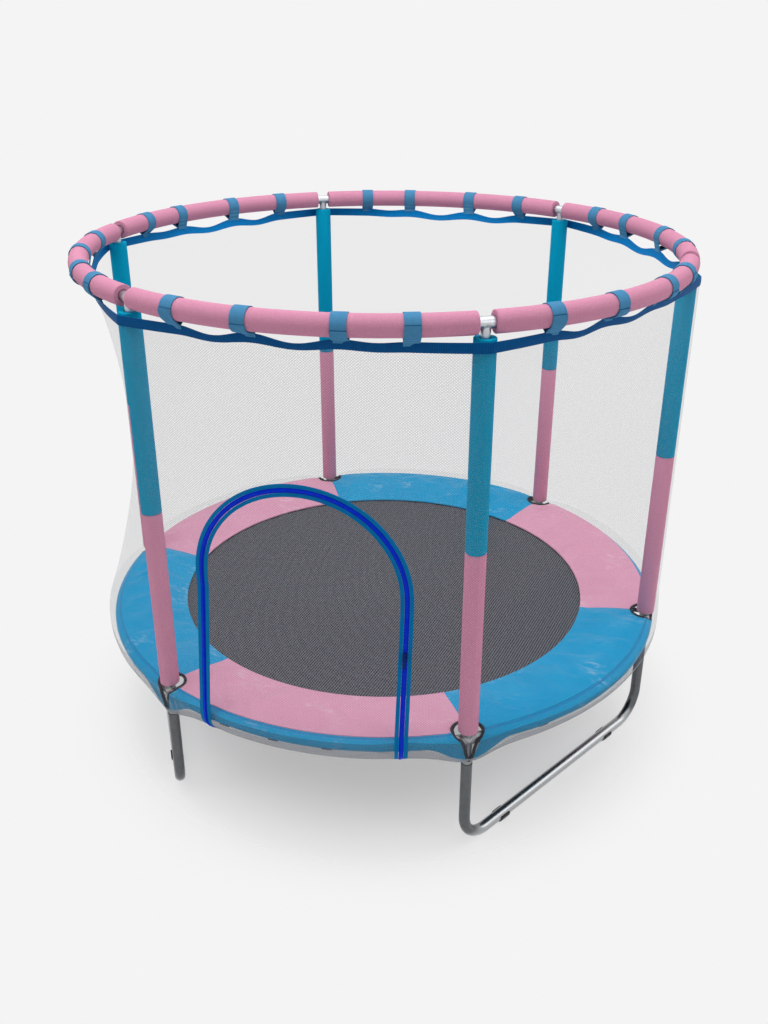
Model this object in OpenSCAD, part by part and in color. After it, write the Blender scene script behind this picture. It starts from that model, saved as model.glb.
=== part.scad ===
// Children's trampoline with a netted safety enclosure.
// Six foam-covered posts stand on a round tube frame with three U-shaped legs.
// The origin is on the floor at the centre, +Z is up and the zipped doorway faces -Y.
// Every bay between two posts is drawn in its own frame, as seen from outside:
// X runs to the right, -Y points outwards and Z is up.

/* [Frame ring] */
// Radius of the frame ring, the posts and the top rail, to the tube centres
frame_r = 690; // [620:5:760]
// Height of the frame ring's tube centre above the floor
frame_z = 304; // [280:1:340]
// Outside diameter of the frame ring tube
frame_d = 25; // [22:0.5:30]
// Wall of every steel tube
tube_wall = 1.2; // [0.8:0.1:1.6]
// Outside diameter of the upright socket welded through the ring at each post
socket_d = 22; // [21.8:0.1:23.5]
// How far the socket stands above the ring's centre
socket_up = 60; // [40:1:90]
// How far each tube's narrowed end runs into the next tube
spigot_len = 50; // [30:1:56]
// Gap all round a tube that slides into another
slide_gap = 0.2; // [0.1:0.05:0.4]

/* [Legs] */
// Outside diameter of the leg tube
leg_d = 25; // [24.8:0.1:30]
// Height of the leg tube's open top end
leg_top = 242; // [220:1:260]
// Radius of the leg's two bends, to the tube's centre
leg_bend_r = 75; // [50:1:100]
// How deep the socket plugs into the leg
plug_depth = 40; // [25:1:80]
// Thickness of the rubber foot clip
clip_t = 3; // [2:0.5:5]
// Length of a foot clip along the leg's bar
clip_len = 28; // [20:1:50]
// Distance of a foot clip from the upright beside it
clip_inset = 135; // [110:5:250]
// Width of the flat sole under a foot clip
sole_w = 14; // [8:1:20]

/* [Posts and foam] */
// Outside diameter of the post
post_d = 19; // [17:0.1:19.1]
// Outside diameter of the foam sleeves
foam_d = 43; // [38:0.5:50]
// Gap all round between a tube and its foam sleeve
foam_gap = 0.4; // [0.2:0.1:0.8]
// Length of each of the two foam sleeves on a post
sleeve_len = 428; // [380:1:460]
// Height of the lower sleeve's bottom end above the ring's centre
sleeve_up = 24; // [20:1:40]
// Rounding of a foam sleeve's edges
foam_round = 2.5; // [1:0.5:4]

/* [Top rail] */
// Outside diameter of the top rail's tube
rail_d = 22; // [19:0.5:26]
// Height of the rail's centre above the top of the post sleeves
rail_up = 27; // [24:1:45]
// Gap between the two rail sleeves at a post
rail_gap = 33; // [30:1:50]
// Diameter of the stub that joins the rail to a post
stub_d = 19; // [18:0.1:19.2]
// How far the stub's narrowed end runs down inside the post
stub_depth = 50; // [30:1:80]

/* [Straps and hem] */
// Width of a strap loop
strap_w = 30; // [20:1:40]
// Thickness of the strap webbing
strap_t = 1.6; // [1:0.2:2.4]
// Angles of the four straps of a bay from its middle, left to right as seen from outside
strap_at = [-19, -6.3, 8.6, 19];
// Height of the net's hem band
hem_h = 20; // [16:1:30]
// Thickness of the hem band
hem_t = 1.6; // [1:0.2:2.4]
// Drop from the rail foam's underside to the hem at a strap
hem_drop = 8; // [7:1:20]
// How much lower the hem's top edge hangs half-way between the straps of a bay
hem_sags = [12, 13, 4];

/* [Mat and bands] */
// Radius of the jumping mat
mat_r = 556; // [540:1:570]
// Thickness of the mat's cloth
mat_t = 2; // [1.4:0.2:4]
// Width of the doubled webbing along the mat's edge
edge_w = 30; // [20:1:40]
// Thickness of that webbing
edge_t = 5; // [4:0.5:8]
// Number of elastic bands that hold the mat, in each bay
bay_bands = 6; // [4:1:6]
// Width of an elastic band
band_w = 20; // [14:1:22]
// Thickness of an elastic band
band_t = 2; // [1.5:0.1:2.2]
// Wire of the steel loop between mat and band
loop_wire = 4; // [3:0.5:4]
// Length of that loop, outwards
loop_len = 22; // [20:1:28]

/* [Pad] */
// Radius of the pad's inner edge, over the mat
pad_in_r = 525; // [505:1:535]
// Thickness of the pad
pad_t = 11; // [9:0.5:14]
// How much the pad swells at its middle
pad_crown = 4; // [0:0.5:6]
// How much lower the pad's inner edge lies than its outer one
pad_slope = 6; // [2:0.5:8]
// Radius of the hole round a post
hole_r = 38; // [34:0.5:42]
// Diameter of the binding along that hole
binding_d = 6; // [4:0.5:7]
// Thickness of the skirt's cloth
skirt_t = 1.6; // [1.2:0.1:2.4]
// Height of the skirt's lower edge below the ring's centre
skirt_down = 10; // [8:1:14]
// Height of the skirt's pulled-down corner at a post, below the ring's centre
corner_down = 50; // [46:1:56]

/* [Net and doorway] */
// Thickness of the net's solid
net_t = 1.5; // [1:0.1:2]
// Gap between the post foam and the flat net
net_gap = 1.1; // [0.8:0.1:3]
// Height of the net's lower edge below the ring's centre, between posts
net_down = 34; // [28:1:40]
// How much lower the net's edge is drawn at the posts
net_corner = 32; // [20:1:36]
// Height over which the net goes from the round pad to the flat bay
flare_h = 280; // [240:5:300]
// How far the net's top is rounded, from 0 for flat bays to 1 for a circle
hem_round = 0.46; // [0.3:0.02:0.6]
// How far the doorway's bay is rounded at half its height, from 0 for flat to 1 for a circle
front_round = 0.34; // [0.1:0.02:0.44]
// Half the width of the doorway, to the zip's centre
door_half = 220; // [190:1:240]
// Height of the doorway's springing above the top of the pad
door_spring = 320; // [300:2:380]
// Half the width of the zip's coil
coil_half = 5; // [4.8:0.1:6]
// Width of the tape on each side of the coil
tape_w = 8.2; // [5:0.2:12]
// Height of the zip slider's middle above the top of the pad
slider_up = 200; // [60:5:270]
// Length of the zip slider
slider_len = 18; // [16:1:22]
// Length of the pull tab
pull_len = 30; // [22:1:40]

/* [Hidden] */
$fn = 96;
BAYS = ["front", "front_right", "back_right", "back", "back_left", "front_left"];

steel = "#B9BEC2";
foam_pink = "#CE8AAA";
foam_blue = "#0089AB";
pad_pink = "#CE93AE";
pad_blue = "#2A9CCB";
strap_blue = "#3A7DAA";
hem_blue = "#0A4C88";
net_grey = "#D8D6DA";
tape_blue = "#00679B";
coil_blue = "#0A1AB0";
cloth_grey = "#45484B";
rubber_black = "#1C1D1F";

// Seams between neighbouring pieces that are sewn or pushed together
seam = 0.3;
// Bays and posts
bay_turn = 60;
half_bay = bay_turn / 2;
// Ring joints sit this far before a post, clear of the socket
joint_back = spigot_len + socket_d / 2 + 16;
joint_turn = joint_back / frame_r * 180 / PI;
spigot_turn = spigot_len / frame_r * 180 / PI;
end_turn = seam / frame_r * 180 / PI;
// A narrowed end is rooted this far back inside its own tube
root_turn = 0.5;
root_len = 3;
// Post
post_low = leg_top + 8;
sleeve_low = frame_z + sleeve_up;
sleeve_mid = sleeve_low + sleeve_len;
sleeve_top = sleeve_mid + sleeve_len + seam;
post_top = sleeve_top - 5;
rail_z = sleeve_top + rail_up;
sleeve_bore = max(socket_d, post_d) + 2 * foam_gap;
rail_bore = rail_d + 2 * foam_gap;
// The rail's own joints are hidden in its foam
rail_joint_turn = (rail_gap / 2 + spigot_len + stub_d) / frame_r * 180 / PI;
rail_gap_turn = rail_gap / 2 / frame_r * 180 / PI;
// Legs
chord = 2 * frame_r * sin(half_bay);
chord_off = frame_r * cos(half_bay);
bar_z = leg_d / 2 + clip_t;
// Bands round the ring
band_clear = 0.3;
ring_wrap_in = frame_d / 2 + band_clear;
ring_wrap_out = ring_wrap_in + band_t;
bar_wrap_in = loop_wire * 0.71 + band_clear;
bar_wrap_out = bar_wrap_in + band_t;
tab_len = 18;
tab_t = loop_wire + 5;
slot_gap = 0.3;
loop_in_r = mat_r + tab_len - loop_wire - 2;
loop_out_r = loop_in_r + loop_len - loop_wire;
tab_w = band_w + 2;
loop_w = tab_w + 2 * (loop_wire + 1);
// Pad
pad_low = frame_z + ring_wrap_out + seam;
pad_top = pad_low + pad_t;
pad_out_r = frame_r + 2;
pad_edge_turn = seam / 2 / pad_in_r * 180 / PI;
// Far enough out for the flats between the skirt's columns to clear the bands
skirt_r = frame_r + ring_wrap_out + 4.2;
// Net
foam_r = foam_d / 2;
net_off = foam_r + net_gap + net_t / 2;
net_r = frame_r + net_off / cos(half_bay);
flat_n = net_r * cos(half_bay);
corner_u = net_r * sin(half_bay);
tuck_z = pad_top - 18;
flare_low = pad_top + 10;
flare_top = flare_low + flare_h;
hem_z = rail_z - foam_r - hem_drop;
round_low = hem_z - hem_h - 250;
net_low = frame_z - net_down;
net_low_r = frame_r;
net_corner_r = frame_r + leg_d / 2 + net_t + 1;
corner_reach = 60;
// Neighbouring panels meet at an angle, so each stops short by twice the seam
net_edge = corner_u - 2 * seam;
// The net's columns are the hem's, so that its top follows the wave
hem_cols = 20;
// Doorway
spring_z = pad_top + door_spring;
tape_t = 2;
coil_neck = 1.8;
coil_head = 2.8;
coil_rise = [1, 2.2, 3.6];
tape_in = coil_half + seam;
tape_out = tape_in + tape_w;
door_tape_in = coil_half + 2 * seam;
door_tape_out = door_tape_in + tape_w;
door_edge = door_tape_out + seam;
slider_z = pad_top + slider_up;
leg_tilt = atan((leg_n(flare_low) - leg_n(flare_top)) / flare_h);
// Slider and pull, measured outwards from the net's middle
slide_fit = 0.3;
slider_half = 4.5;
plate_t = 1.5;
slider_face = coil_rise[2] + slide_fit + plate_t;
pin_r = 0.9;
eye_r = 2;
eye_gap = 0.06;
pin_out = slider_face + eye_r + slide_fit;
eye_half = 1.4;
ear_in = eye_half + slide_fit;
ear_t = 1;
ear_half_z = 2.4;
pull_t = 1.4;
pull_w = 7;
neck_len = 5;

// Shape functions shared by the net, its hem and the doorway

// How round the net is at a height: 1 at the pad, a bay's own base in the middle, part round at
// the hem
function roundness(z, base = 0) =
    z < flare_low ? 1 :
    z < flare_top ? mix(1, base, (z - flare_low) / flare_h) :
    z < round_low ? base :
    mix(base, hem_round, pow(min(1, (z - round_low) / (hem_z - hem_h - round_low)), 2));
// Outward distance of the net at a sideways distance u
function net_n(u, z, base = 0) =
    flat_n + roundness(z, base) * (sqrt(net_r * net_r - u * u) - flat_n);
function leg_n(z) = net_n(door_half, z, front_round);
// How close a sideways place is to a post, 0 to 1
function near_post(u) = exp(-pow((corner_u - abs(u)) / corner_reach, 2));
function net_bottom(u) = net_low - net_corner * near_post(u);
// The net is drawn in under the frame below the pad
function tuck(u, z) = z >= tuck_z ? 1 :
    1 - (1 - (net_low_r + (net_corner_r - net_low_r) * near_post(u)) / net_r)
        * pow((tuck_z - z) / (tuck_z - net_bottom(u)), 2);
// A point of the net, moved outwards by h
function net_point(u, z, h = 0, base = 0) =
    let (k = tuck(u, z)) [k * u, -k * net_n(u, z, base) - h, z];
// The hem's wave: it hangs between the straps of a bay, and runs level past a post
STRAP_STOPS = concat([strap_at[3] - bay_turn], strap_at, [strap_at[0] + bay_turn]);
HEM_SAGS = concat([0], hem_sags, [0]);
function hem_dip(u) =
    let (a = atan2(u, net_n(u, hem_z)),
        k = max([for (j = [0:len(HEM_SAGS) - 1]) if (a >= STRAP_STOPS[j]) j]),
        t = (a - STRAP_STOPS[k]) / (STRAP_STOPS[k + 1] - STRAP_STOPS[k]))
    HEM_SAGS[k] * (1 - cos(360 * t)) / 2;
function hem_top(u) = hem_z - hem_dip(u);
function hem_low(u) = hem_z - hem_h - hem_dip(u) / 2;
function net_top(u) = hem_low(u) - seam;
// Sideways place on the hem that lies at an angle from the bay's middle
function hem_u(a) = let (u1 = frame_r * sin(a)) net_n(u1, hem_z) * tan(a);
function mix(a, b, t) = a + (b - a) * t;
// A place along the doorway's arch at a distance d outside the zip's centre:
// t runs from 0 at the left foot to 1 at the right foot
function leg_z(s, d) = mix(net_bottom(door_half + d), spring_z, s);
function arch(t, d) =
    t < 0.3 ? [-door_half - d, leg_z(t / 0.3, d)] :
    t > 0.7 ? [door_half + d, leg_z((1 - t) / 0.3, d)] :
    let (a = 180 - (t - 0.3) / 0.4 * 180)
    [(door_half + d) * cos(a), spring_z + (door_half + d) * sin(a)];
function front_point(p, h = 0) = net_point(p[0], p[1], h, front_round);
function arch_point(t, d, h) = front_point(arch(t, d), h);
// Steps along the arch, with the straight legs split where the net's slope changes
function foot_t(z) = 0.3 * (z - net_bottom(door_half)) / (spring_z - net_bottom(door_half));
LEG_STEPS = [0, 0.5 * foot_t(tuck_z), foot_t(tuck_z), foot_t(flare_low), foot_t(flare_top)];
arch_half = 8;
ARCH_STEPS = concat(
    LEG_STEPS,
    [for (i = [0:2 * arch_half]) 0.3 + 0.2 * i / arch_half],
    [for (i = [4:-1:0]) 1 - LEG_STEPS[i]]
);
function reverse(list) = [for (i = [len(list) - 1:-1:0]) list[i]];

// Builders

// Puts a bay-frame shape into its bay: 0 is the front
module in_bay(i) {
    rotate([0, 0, i * bay_turn]) children();
}

// Puts a shape at a post, with X outwards: 1 stands at the right of the front bay
module at_post(i) {
    rotate([0, 0, (i - 1) * bay_turn - 90 + half_bay]) translate([frame_r, 0, 0]) children();
}

// A closed thin solid between two grids of points, the first one on the outside
module sheet(front, back) {
    rows = len(front);
    cols = len(front[0]);
    pts = concat([for (row = front) each row], [for (row = back) each row]);
    n = rows * cols;
    function f(i, j) = i * cols + j;
    function b(i, j) = n + i * cols + j;
    function quad(p, q, r, s) = [[p, q, r], [p, r, s]];
    faces = concat(
        [for (i = [0:rows - 2], j = [0:cols - 2])
            each quad(f(i, j), f(i + 1, j), f(i + 1, j + 1), f(i, j + 1))],
        [for (i = [0:rows - 2], j = [0:cols - 2])
            each quad(b(i, j), b(i, j + 1), b(i + 1, j + 1), b(i + 1, j))],
        [for (i = [0:rows - 2]) each quad(f(i, 0), b(i, 0), b(i + 1, 0), f(i + 1, 0))],
        [for (i = [0:rows - 2])
            each quad(f(i, cols - 1), f(i + 1, cols - 1), b(i + 1, cols - 1), b(i, cols - 1))],
        [for (j = [0:cols - 2]) each quad(f(0, j), f(0, j + 1), b(0, j + 1), b(0, j))],
        [for (j = [0:cols - 2])
            each quad(f(rows - 1, j), b(rows - 1, j), b(rows - 1, j + 1), f(rows - 1, j + 1))]
    );
    polyhedron(pts, faces);
}

// A tube-like solid from a list of rings of points, open with flat ends or joined to itself
// cap lists the triangles of the first end; without it that end is one flat face
module swept(rings, closed = false, cap = []) {
    m = len(rings);
    k = len(rings[0]);
    last = closed ? m - 1 : m - 2;
    sides = [for (i = [0:last], j = [0:k - 1])
        let (i2 = (i + 1) % m, j2 = (j + 1) % k)
        each [[i * k + j, i2 * k + j2, i2 * k + j], [i * k + j, i * k + j2, i2 * k + j2]]];
    first = len(cap) > 0 ? cap : [[for (j = [0:k - 1]) j]];
    ends = closed ? [] : concat(
        [for (face = first) reverse(face)],
        [for (face = first) [for (j = face) (m - 1) * k + j]]
    );
    polyhedron([for (r = rings) each r], concat(sides, ends));
}

// An arc of round tube in the XY plane, from angle a over a sweep
module arc_rod(r, d, a, sweep) {
    rotate([0, 0, a]) rotate_extrude(angle = sweep) translate([r, 0]) circle(d = d);
}

// One round tube section of a ring, with a narrowed end that plugs into the next one
module ring_tube(d, post_turn, back_turn, upright_d, upright_low, upright_high, upright_bore) {
    start = post_turn - back_turn;
    inner = d - 2 * tube_wall;
    plug = inner - 2 * slide_gap;
    difference() {
        union() {
            arc_rod(frame_r, d, start, bay_turn - end_turn);
            arc_rod(frame_r, plug, start + bay_turn - end_turn - root_turn, spigot_turn + root_turn);
            rotate([0, 0, post_turn]) translate([frame_r, 0, upright_low])
                cylinder(d = upright_d, h = upright_high - upright_low);
        }
        arc_rod(frame_r, inner, start - root_turn, bay_turn - end_turn - spigot_turn + root_turn);
        arc_rod(frame_r, plug - 2 * tube_wall, start + bay_turn - end_turn - spigot_turn - root_turn,
            2 * spigot_turn + 2 * root_turn);
        if (upright_bore > 0)
            rotate([0, 0, post_turn]) translate([frame_r, 0, upright_low - 1])
                cylinder(d = upright_bore, h = upright_high - upright_low + 2);
    }
}

// Frame ring section: the post socket is welded through it
module frame_tube(i) {
    color(steel) translate([0, 0, frame_z])
        ring_tube(frame_d, i * bay_turn - 120, joint_turn, socket_d,
            leg_top - plug_depth - frame_z, socket_up, post_d + 2 * slide_gap);
}

// U-shaped leg along the chord of a bay, with its open ends up
module leg_rod(d, top) {
    side = chord / 2;
    straight = chord - 2 * leg_bend_r;
    translate([0, -chord_off, 0]) {
        translate([-straight / 2, 0, bar_z]) rotate([0, 90, 0]) cylinder(d = d, h = straight);
        for (s = [-1, 1]) {
            translate([s * side, 0, bar_z + leg_bend_r])
                cylinder(d = d, h = top - bar_z - leg_bend_r);
            translate([s * (side - leg_bend_r), 0, bar_z + leg_bend_r])
                rotate([90, 0, 0])
                arc_rod(leg_bend_r, d, s > 0 ? -90 : 180, 90);
        }
    }
}

module leg(i) {
    color(steel) in_bay(i) difference() {
        leg_rod(leg_d, leg_top);
        leg_rod(socket_d + 2 * slide_gap, leg_top + 1);
    }
}

// Rubber clip pushed on to the bar from below, with a flat sole
module foot_clip() {
    outer = leg_d / 2 + clip_t;
    rotate([90, 0, 90]) translate([0, bar_z, -clip_len / 2]) linear_extrude(clip_len)
        difference() {
            union() {
                intersection() {
                    circle(r = outer);
                    translate([-outer, -outer]) square([2 * outer, outer + leg_d / 8]);
                }
                translate([-sole_w / 2, -bar_z]) square([sole_w, bar_z]);
            }
            circle(d = leg_d + slide_gap);
        }
}

module foot_clips() {
    color(rubber_black) for (i = [1, 3, 5], s = [-1, 1])
        in_bay(i) translate([s * (chord / 2 - clip_inset), -chord_off, 0]) foot_clip();
}

module posts() {
    color(steel) for (i = [1:6]) at_post(i) difference() {
        translate([0, 0, post_low]) cylinder(d = post_d, h = post_top - post_low);
        translate([0, 0, post_low - 1])
            cylinder(d = post_d - 2 * tube_wall, h = post_top - post_low + 2);
    }
}

// Foam tube with softened edges, standing on the XY plane
module foam_tube(bore, length) {
    r = foam_d / 2;
    e = foam_round;
    rotate_extrude() polygon([
        [bore / 2, 0], [r - e, 0], [r - e * 0.3, e * 0.3], [r, e],
        [r, length - e], [r - e * 0.3, length - e * 0.3], [r - e, length], [bore / 2, length]
    ]);
}

module lower_sleeve(i) {
    color(foam_pink) at_post(i) translate([0, 0, sleeve_low]) foam_tube(sleeve_bore, sleeve_len);
}

module upper_sleeve(i) {
    color(foam_blue) at_post(i) translate([0, 0, sleeve_mid + seam])
        foam_tube(sleeve_bore, sleeve_len);
}

// Top rail section with the welded stub that drops into the post
module top_rail(i) {
    post_turn = i * bay_turn - 120;
    post_inner = post_d - 2 * tube_wall - 2 * slide_gap;
    color(steel) translate([0, 0, rail_z]) {
        ring_tube(rail_d, post_turn, rail_joint_turn, stub_d, post_top + seam - rail_z, 0, 0);
        rotate([0, 0, post_turn]) translate([frame_r, 0, post_top - stub_depth - rail_z])
            cylinder(d = post_inner, h = stub_depth + seam + root_len);
    }
}

module rail_sleeve(i) {
    color(foam_pink) translate([0, 0, rail_z])
        rotate([0, 0, i * bay_turn - 120 + rail_gap_turn])
        rotate_extrude(angle = bay_turn - 2 * rail_gap_turn)
        translate([frame_r, 0]) difference() {
            circle(d = foam_d);
            circle(d = rail_bore);
        }
}

// Strap round the rail foam with a tail sewn to the outside of the hem
module strap_loop(a) {
    u = hem_u(a);
    n = net_n(u, hem_z);
    turn = atan(-hem_round * u / sqrt(net_r * net_r - u * u));
    bore = foam_d + 1;
    tail_h = hem_drop + hem_h + foam_r;
    difference() {
        union() {
            translate([frame_r * sin(a), -frame_r * cos(a), rail_z]) rotate([0, 0, a])
                rotate([0, 90, 0]) translate([0, 0, -strap_w / 2])
                cylinder(d = bore + 2 * strap_t, h = strap_w);
            translate([u, -n, rail_z - foam_r - hem_drop - hem_h]) rotate([0, 0, -turn])
                translate([-strap_w / 2, -hem_t / 2 - seam - strap_t, 0])
                cube([strap_w, strap_t, tail_h]);
        }
        translate([frame_r * sin(a), -frame_r * cos(a), rail_z]) rotate([0, 0, a])
            rotate([0, 90, 0]) translate([0, 0, -strap_w])
            cylinder(d = bore, h = 2 * strap_w);
    }
}

module strap_loops() {
    color(strap_blue) for (i = [0:5], a = strap_at) in_bay(i) strap_loop(a);
}

// Wavy hem band: one closed strip round the six bays
module net_hem() {
    us = [for (j = [0:hem_cols - 1]) mix(-corner_u, corner_u, j / hem_cols)];
    function bay_pt(i, u, z, h) =
        let (n = net_n(u, hem_z) + h, a = i * bay_turn)
        [u * cos(a) + n * sin(a), u * sin(a) - n * cos(a), z];
    color(hem_blue) swept([for (i = [0:5], u = us)
        let (high = hem_top(u), low = hem_low(u), h = hem_t / 2)
        [bay_pt(i, u, low, -h), bay_pt(i, u, low, h),
            bay_pt(i, u, high, h), bay_pt(i, u, high, -h)]], closed = true);
}

// Heights of the rows of a plain net panel at a sideways place
function net_rows(u) = concat(
    [net_bottom(u), mix(net_bottom(u), tuck_z, 0.5), tuck_z, flare_low,
        mix(flare_low, flare_top, 0.5), flare_top, round_low],
    [for (t = [0.35, 0.7, 1]) mix(round_low, net_top(u), t)]
);

module net_panel(i) {
    us = [for (j = [0:hem_cols]) mix(-net_edge, net_edge, j / hem_cols)];
    function grid(h) = [for (k = [0:len(net_rows(0)) - 1])
        [for (u = reverse(us)) net_point(u, net_rows(u)[k], h)]];
    color(net_grey) in_bay(i) sheet(grid(net_t / 2), grid(-net_t / 2));
}

// Front panel: the net runs from the doorway's arch out to the posts and the hem
module net_front() {
    d = tape_out + seam;
    edge = net_edge;
    fan = 4;
    // The middle of the arch, whose steps run out to the hem, is stepped as the hem is
    steps = concat(
        [for (t = ARCH_STEPS) if (t < 0.399) t],
        [for (i = [0:hem_cols]) 0.4 + 0.2 * i / hem_cols],
        [for (t = ARCH_STEPS) if (t > 0.601) t]
    );
    // The outer border place that belongs to a step along the arch
    function border(t) =
        t < 0.3 ? [-edge, mix(net_bottom(edge), net_top(edge), t / 0.3 * 0.6)] :
        t > 0.7 ? [edge, mix(net_bottom(edge), net_top(edge), (1 - t) / 0.3 * 0.6)] :
        let (s = (t - 0.3) / 0.4)
        s < 0.25 ? [-edge, mix(net_bottom(edge), net_top(edge), 0.6 + 0.4 * s / 0.25)] :
        s > 0.75 ? [edge, mix(net_bottom(edge), net_top(edge), 0.6 + 0.4 * (1 - s) / 0.25)] :
        let (u = mix(-edge, edge, (s - 0.25) / 0.5)) [u, net_top(u)];
    function spread(t, s) = let (p = arch(t, d), q = border(t)) mix(p, q, s);
    // Keeps the feet of the panel on the net's lower edge and its leg rows level
    function place(t, s) =
        let (p = spread(t, s), z0 = arch(t, d)[1])
        t == 0 || t == 1 ? [p[0], net_bottom(p[0])] :
        z0 < flare_low + 1 ? [p[0], z0] : p;
    function grid(h) = [for (t = steps) [for (s = [fan:-1:0]) front_point(place(t, s / fan), h)]];
    color(net_grey) sheet(grid(net_t / 2), grid(-net_t / 2));
}

// Door flap: the net inside the zip's arch
module door_net() {
    half = door_half - door_edge;
    cols = 10;
    // The last row almost closes the top of the arch
    crown_a = 89.5;
    low = [for (t = LEG_STEPS) arch(t, -door_edge)[1]];
    rows = concat(
        [for (z = low) [half, z]],
        [for (k = [0:arch_half - 1]) let (a = 90 * k / arch_half)
            [half * cos(a), spring_z + half * sin(a)]],
        [[half * cos(crown_a), spring_z + half * sin(crown_a)]]
    );
    function grid(h) = [for (r = rows) [for (j = [cols:-1:0])
        let (u = mix(-r[0], r[0], j / cols))
        front_point([u, r[1] == low[0] ? net_bottom(u) : r[1]], h)]];
    color(net_grey) sheet(grid(net_t / 2), grid(-net_t / 2));
}

// Flat tape along the arch between two distances from the zip's centre
module tape(d0, d1) {
    function ring(t) = [arch_point(t, d0, -tape_t / 2), arch_point(t, d1, -tape_t / 2),
        arch_point(t, d1, tape_t / 2), arch_point(t, d0, tape_t / 2)];
    swept([for (t = ARCH_STEPS) ring(t)]);
}

module zip_net_tape() {
    color(tape_blue) tape(tape_in, tape_out);
}

module zip_door_tape() {
    color(tape_blue) tape(-door_tape_out, -door_tape_in);
}

// Coil with a raised rib that the slider grips; its section doesn't twist along the legs
module zip_coil() {
    section = [
        [-coil_half, -1], [coil_half, -1], [coil_half, coil_rise[0]], [coil_neck, coil_rise[0]],
        [coil_neck, coil_rise[1]], [coil_head, coil_rise[1]], [coil_head, coil_rise[2]],
        [-coil_head, coil_rise[2]], [-coil_head, coil_rise[1]], [-coil_neck, coil_rise[1]],
        [-coil_neck, coil_rise[0]], [-coil_half, coil_rise[0]]
    ];
    // Triangles over the base, the neck and the head of the section
    cap = [[0, 1, 2], [0, 2, 3], [0, 3, 10], [0, 10, 11], [10, 3, 4], [10, 4, 9],
        [9, 4, 7], [4, 5, 6], [4, 6, 7], [9, 7, 8]];
    function at(t, s) =
        let (c = arch_point(t, 0, s[1]), p0 = arch(t, 0), p1 = arch(t, 1), e = p1 - p0,
            k = t < 0.3 || t > 0.7 ? [sign(e[0]), 0] : e)
        c + s[0] * [k[0], 0, k[1]];
    color(coil_blue) swept([for (t = ARCH_STEPS) [for (s = section) at(t, s)]], cap = cap);
}

// Frame of the slider: on the right leg of the zip, Z along the leg and -Y outwards
module at_slider() {
    translate(front_point([door_half, slider_z])) rotate([-leg_tilt, 0, 0]) children();
}

// A block given by its half width, its span outwards and its span along the zip
module block(half, out0, out1, z0, z1) {
    translate([-half, -out1, z0]) cube([2 * half, out1 - out0, z1 - z0]);
}

module zip_slider() {
    half_len = slider_len / 2;
    lip_top = coil_rise[1] - slide_fit;
    lip_low = coil_rise[0] + slide_fit;
    ear_z = half_len - ear_half_z - 1;
    color(steel) at_slider() {
        difference() {
            block(slider_half, lip_low, slider_face, -half_len, half_len);
            block(coil_neck + slide_fit, lip_low - 1, lip_top + 0.1, -half_len - 1, half_len + 1);
            block(coil_head + slide_fit, lip_top, coil_rise[2] + slide_fit,
                -half_len - 1, half_len + 1);
        }
        for (s = [-1, 1]) translate([s * (ear_in + ear_t / 2), 0, ear_z])
            block(ear_t / 2, slider_face, pin_out + eye_r, -ear_half_z, ear_half_z);
        translate([-ear_in - ear_t / 2, -pin_out, ear_z]) rotate([0, 90, 0])
            cylinder(r = pin_r, h = 2 * ear_in + ear_t);
    }
}

module zip_pull() {
    ear_z = slider_len / 2 - ear_half_z - 1;
    color(steel) at_slider() translate([0, -pin_out, ear_z]) difference() {
        union() {
            translate([-eye_half, 0, 0]) rotate([0, 90, 0]) cylinder(r = eye_r, h = 2 * eye_half);
            block(eye_half, -pull_t / 2, pull_t / 2, -neck_len - 1, 0);
            block(pull_w / 2, -pull_t / 2, pull_t / 2, -pull_len, -neck_len);
        }
        translate([-eye_half - 1, 0, 0]) rotate([0, 90, 0])
            cylinder(r = pin_r + eye_gap, h = 2 * eye_half + 2);
    }
}

// Band places in a bay, in degrees from its middle
function band_turns() = [for (j = [0:bay_bands - 1])
    mix(-half_bay, half_bay, (j + 0.5) / bay_bands)];

// Runs its children once at every band, with X outwards from the object's axis
module at_bands() {
    for (i = [0:5], a = band_turns())
        rotate([0, 0, i * bay_turn + a - 90]) translate([0, 0, frame_z]) children();
}

// Jumping mat with its doubled edge and a slotted tab for every steel loop
module mat() {
    color(cloth_grey) {
        translate([0, 0, frame_z - mat_t / 2]) cylinder(r = mat_r - edge_w / 2, h = mat_t);
        translate([0, 0, frame_z - edge_t / 2]) difference() {
            cylinder(r = mat_r, h = edge_t);
            translate([0, 0, -1]) cylinder(r = mat_r - edge_w, h = edge_t + 2);
        }
        at_bands() difference() {
            translate([mat_r - edge_w / 2, -tab_w / 2, -tab_t / 2])
                cube([edge_w / 2 + tab_len, tab_w, tab_t]);
            translate([loop_in_r - loop_wire / 2 - slot_gap, -tab_w, -loop_wire / 2 - slot_gap])
                cube([loop_wire + 2 * slot_gap, 2 * tab_w, loop_wire + 2 * slot_gap]);
        }
    }
}

module mat_loops() {
    color(steel) at_bands() translate([loop_in_r - loop_wire / 2, 0, -loop_wire / 2])
        linear_extrude(loop_wire) difference() {
            translate([0, -loop_w / 2]) square([loop_len, loop_w]);
            translate([loop_wire, -loop_w / 2 + loop_wire])
                square([loop_len - 2 * loop_wire, loop_w - 2 * loop_wire]);
        }
}

// Points of an arc about a place on the X axis, moved out so that its flats clear the circle
function arc_flats(x, r, a0, a1, n) =
    let (g = r / cos((a1 - a0) / n / 2))
    [for (k = [0:n]) let (a = mix(a0, a1, k / n)) [x + g * cos(a), g * sin(a)]];

// Outline of a belt round the ring tube and the loop's outer bar, seen from the side
module belt(big, small) {
    lean = asin((big - small) / (frame_r - loop_out_r));
    open = 90 + lean;
    polygon(concat(
        arc_flats(frame_r, big, -open, open, 14),
        arc_flats(loop_out_r, small, open, 360 - open, 6)
    ));
}

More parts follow.
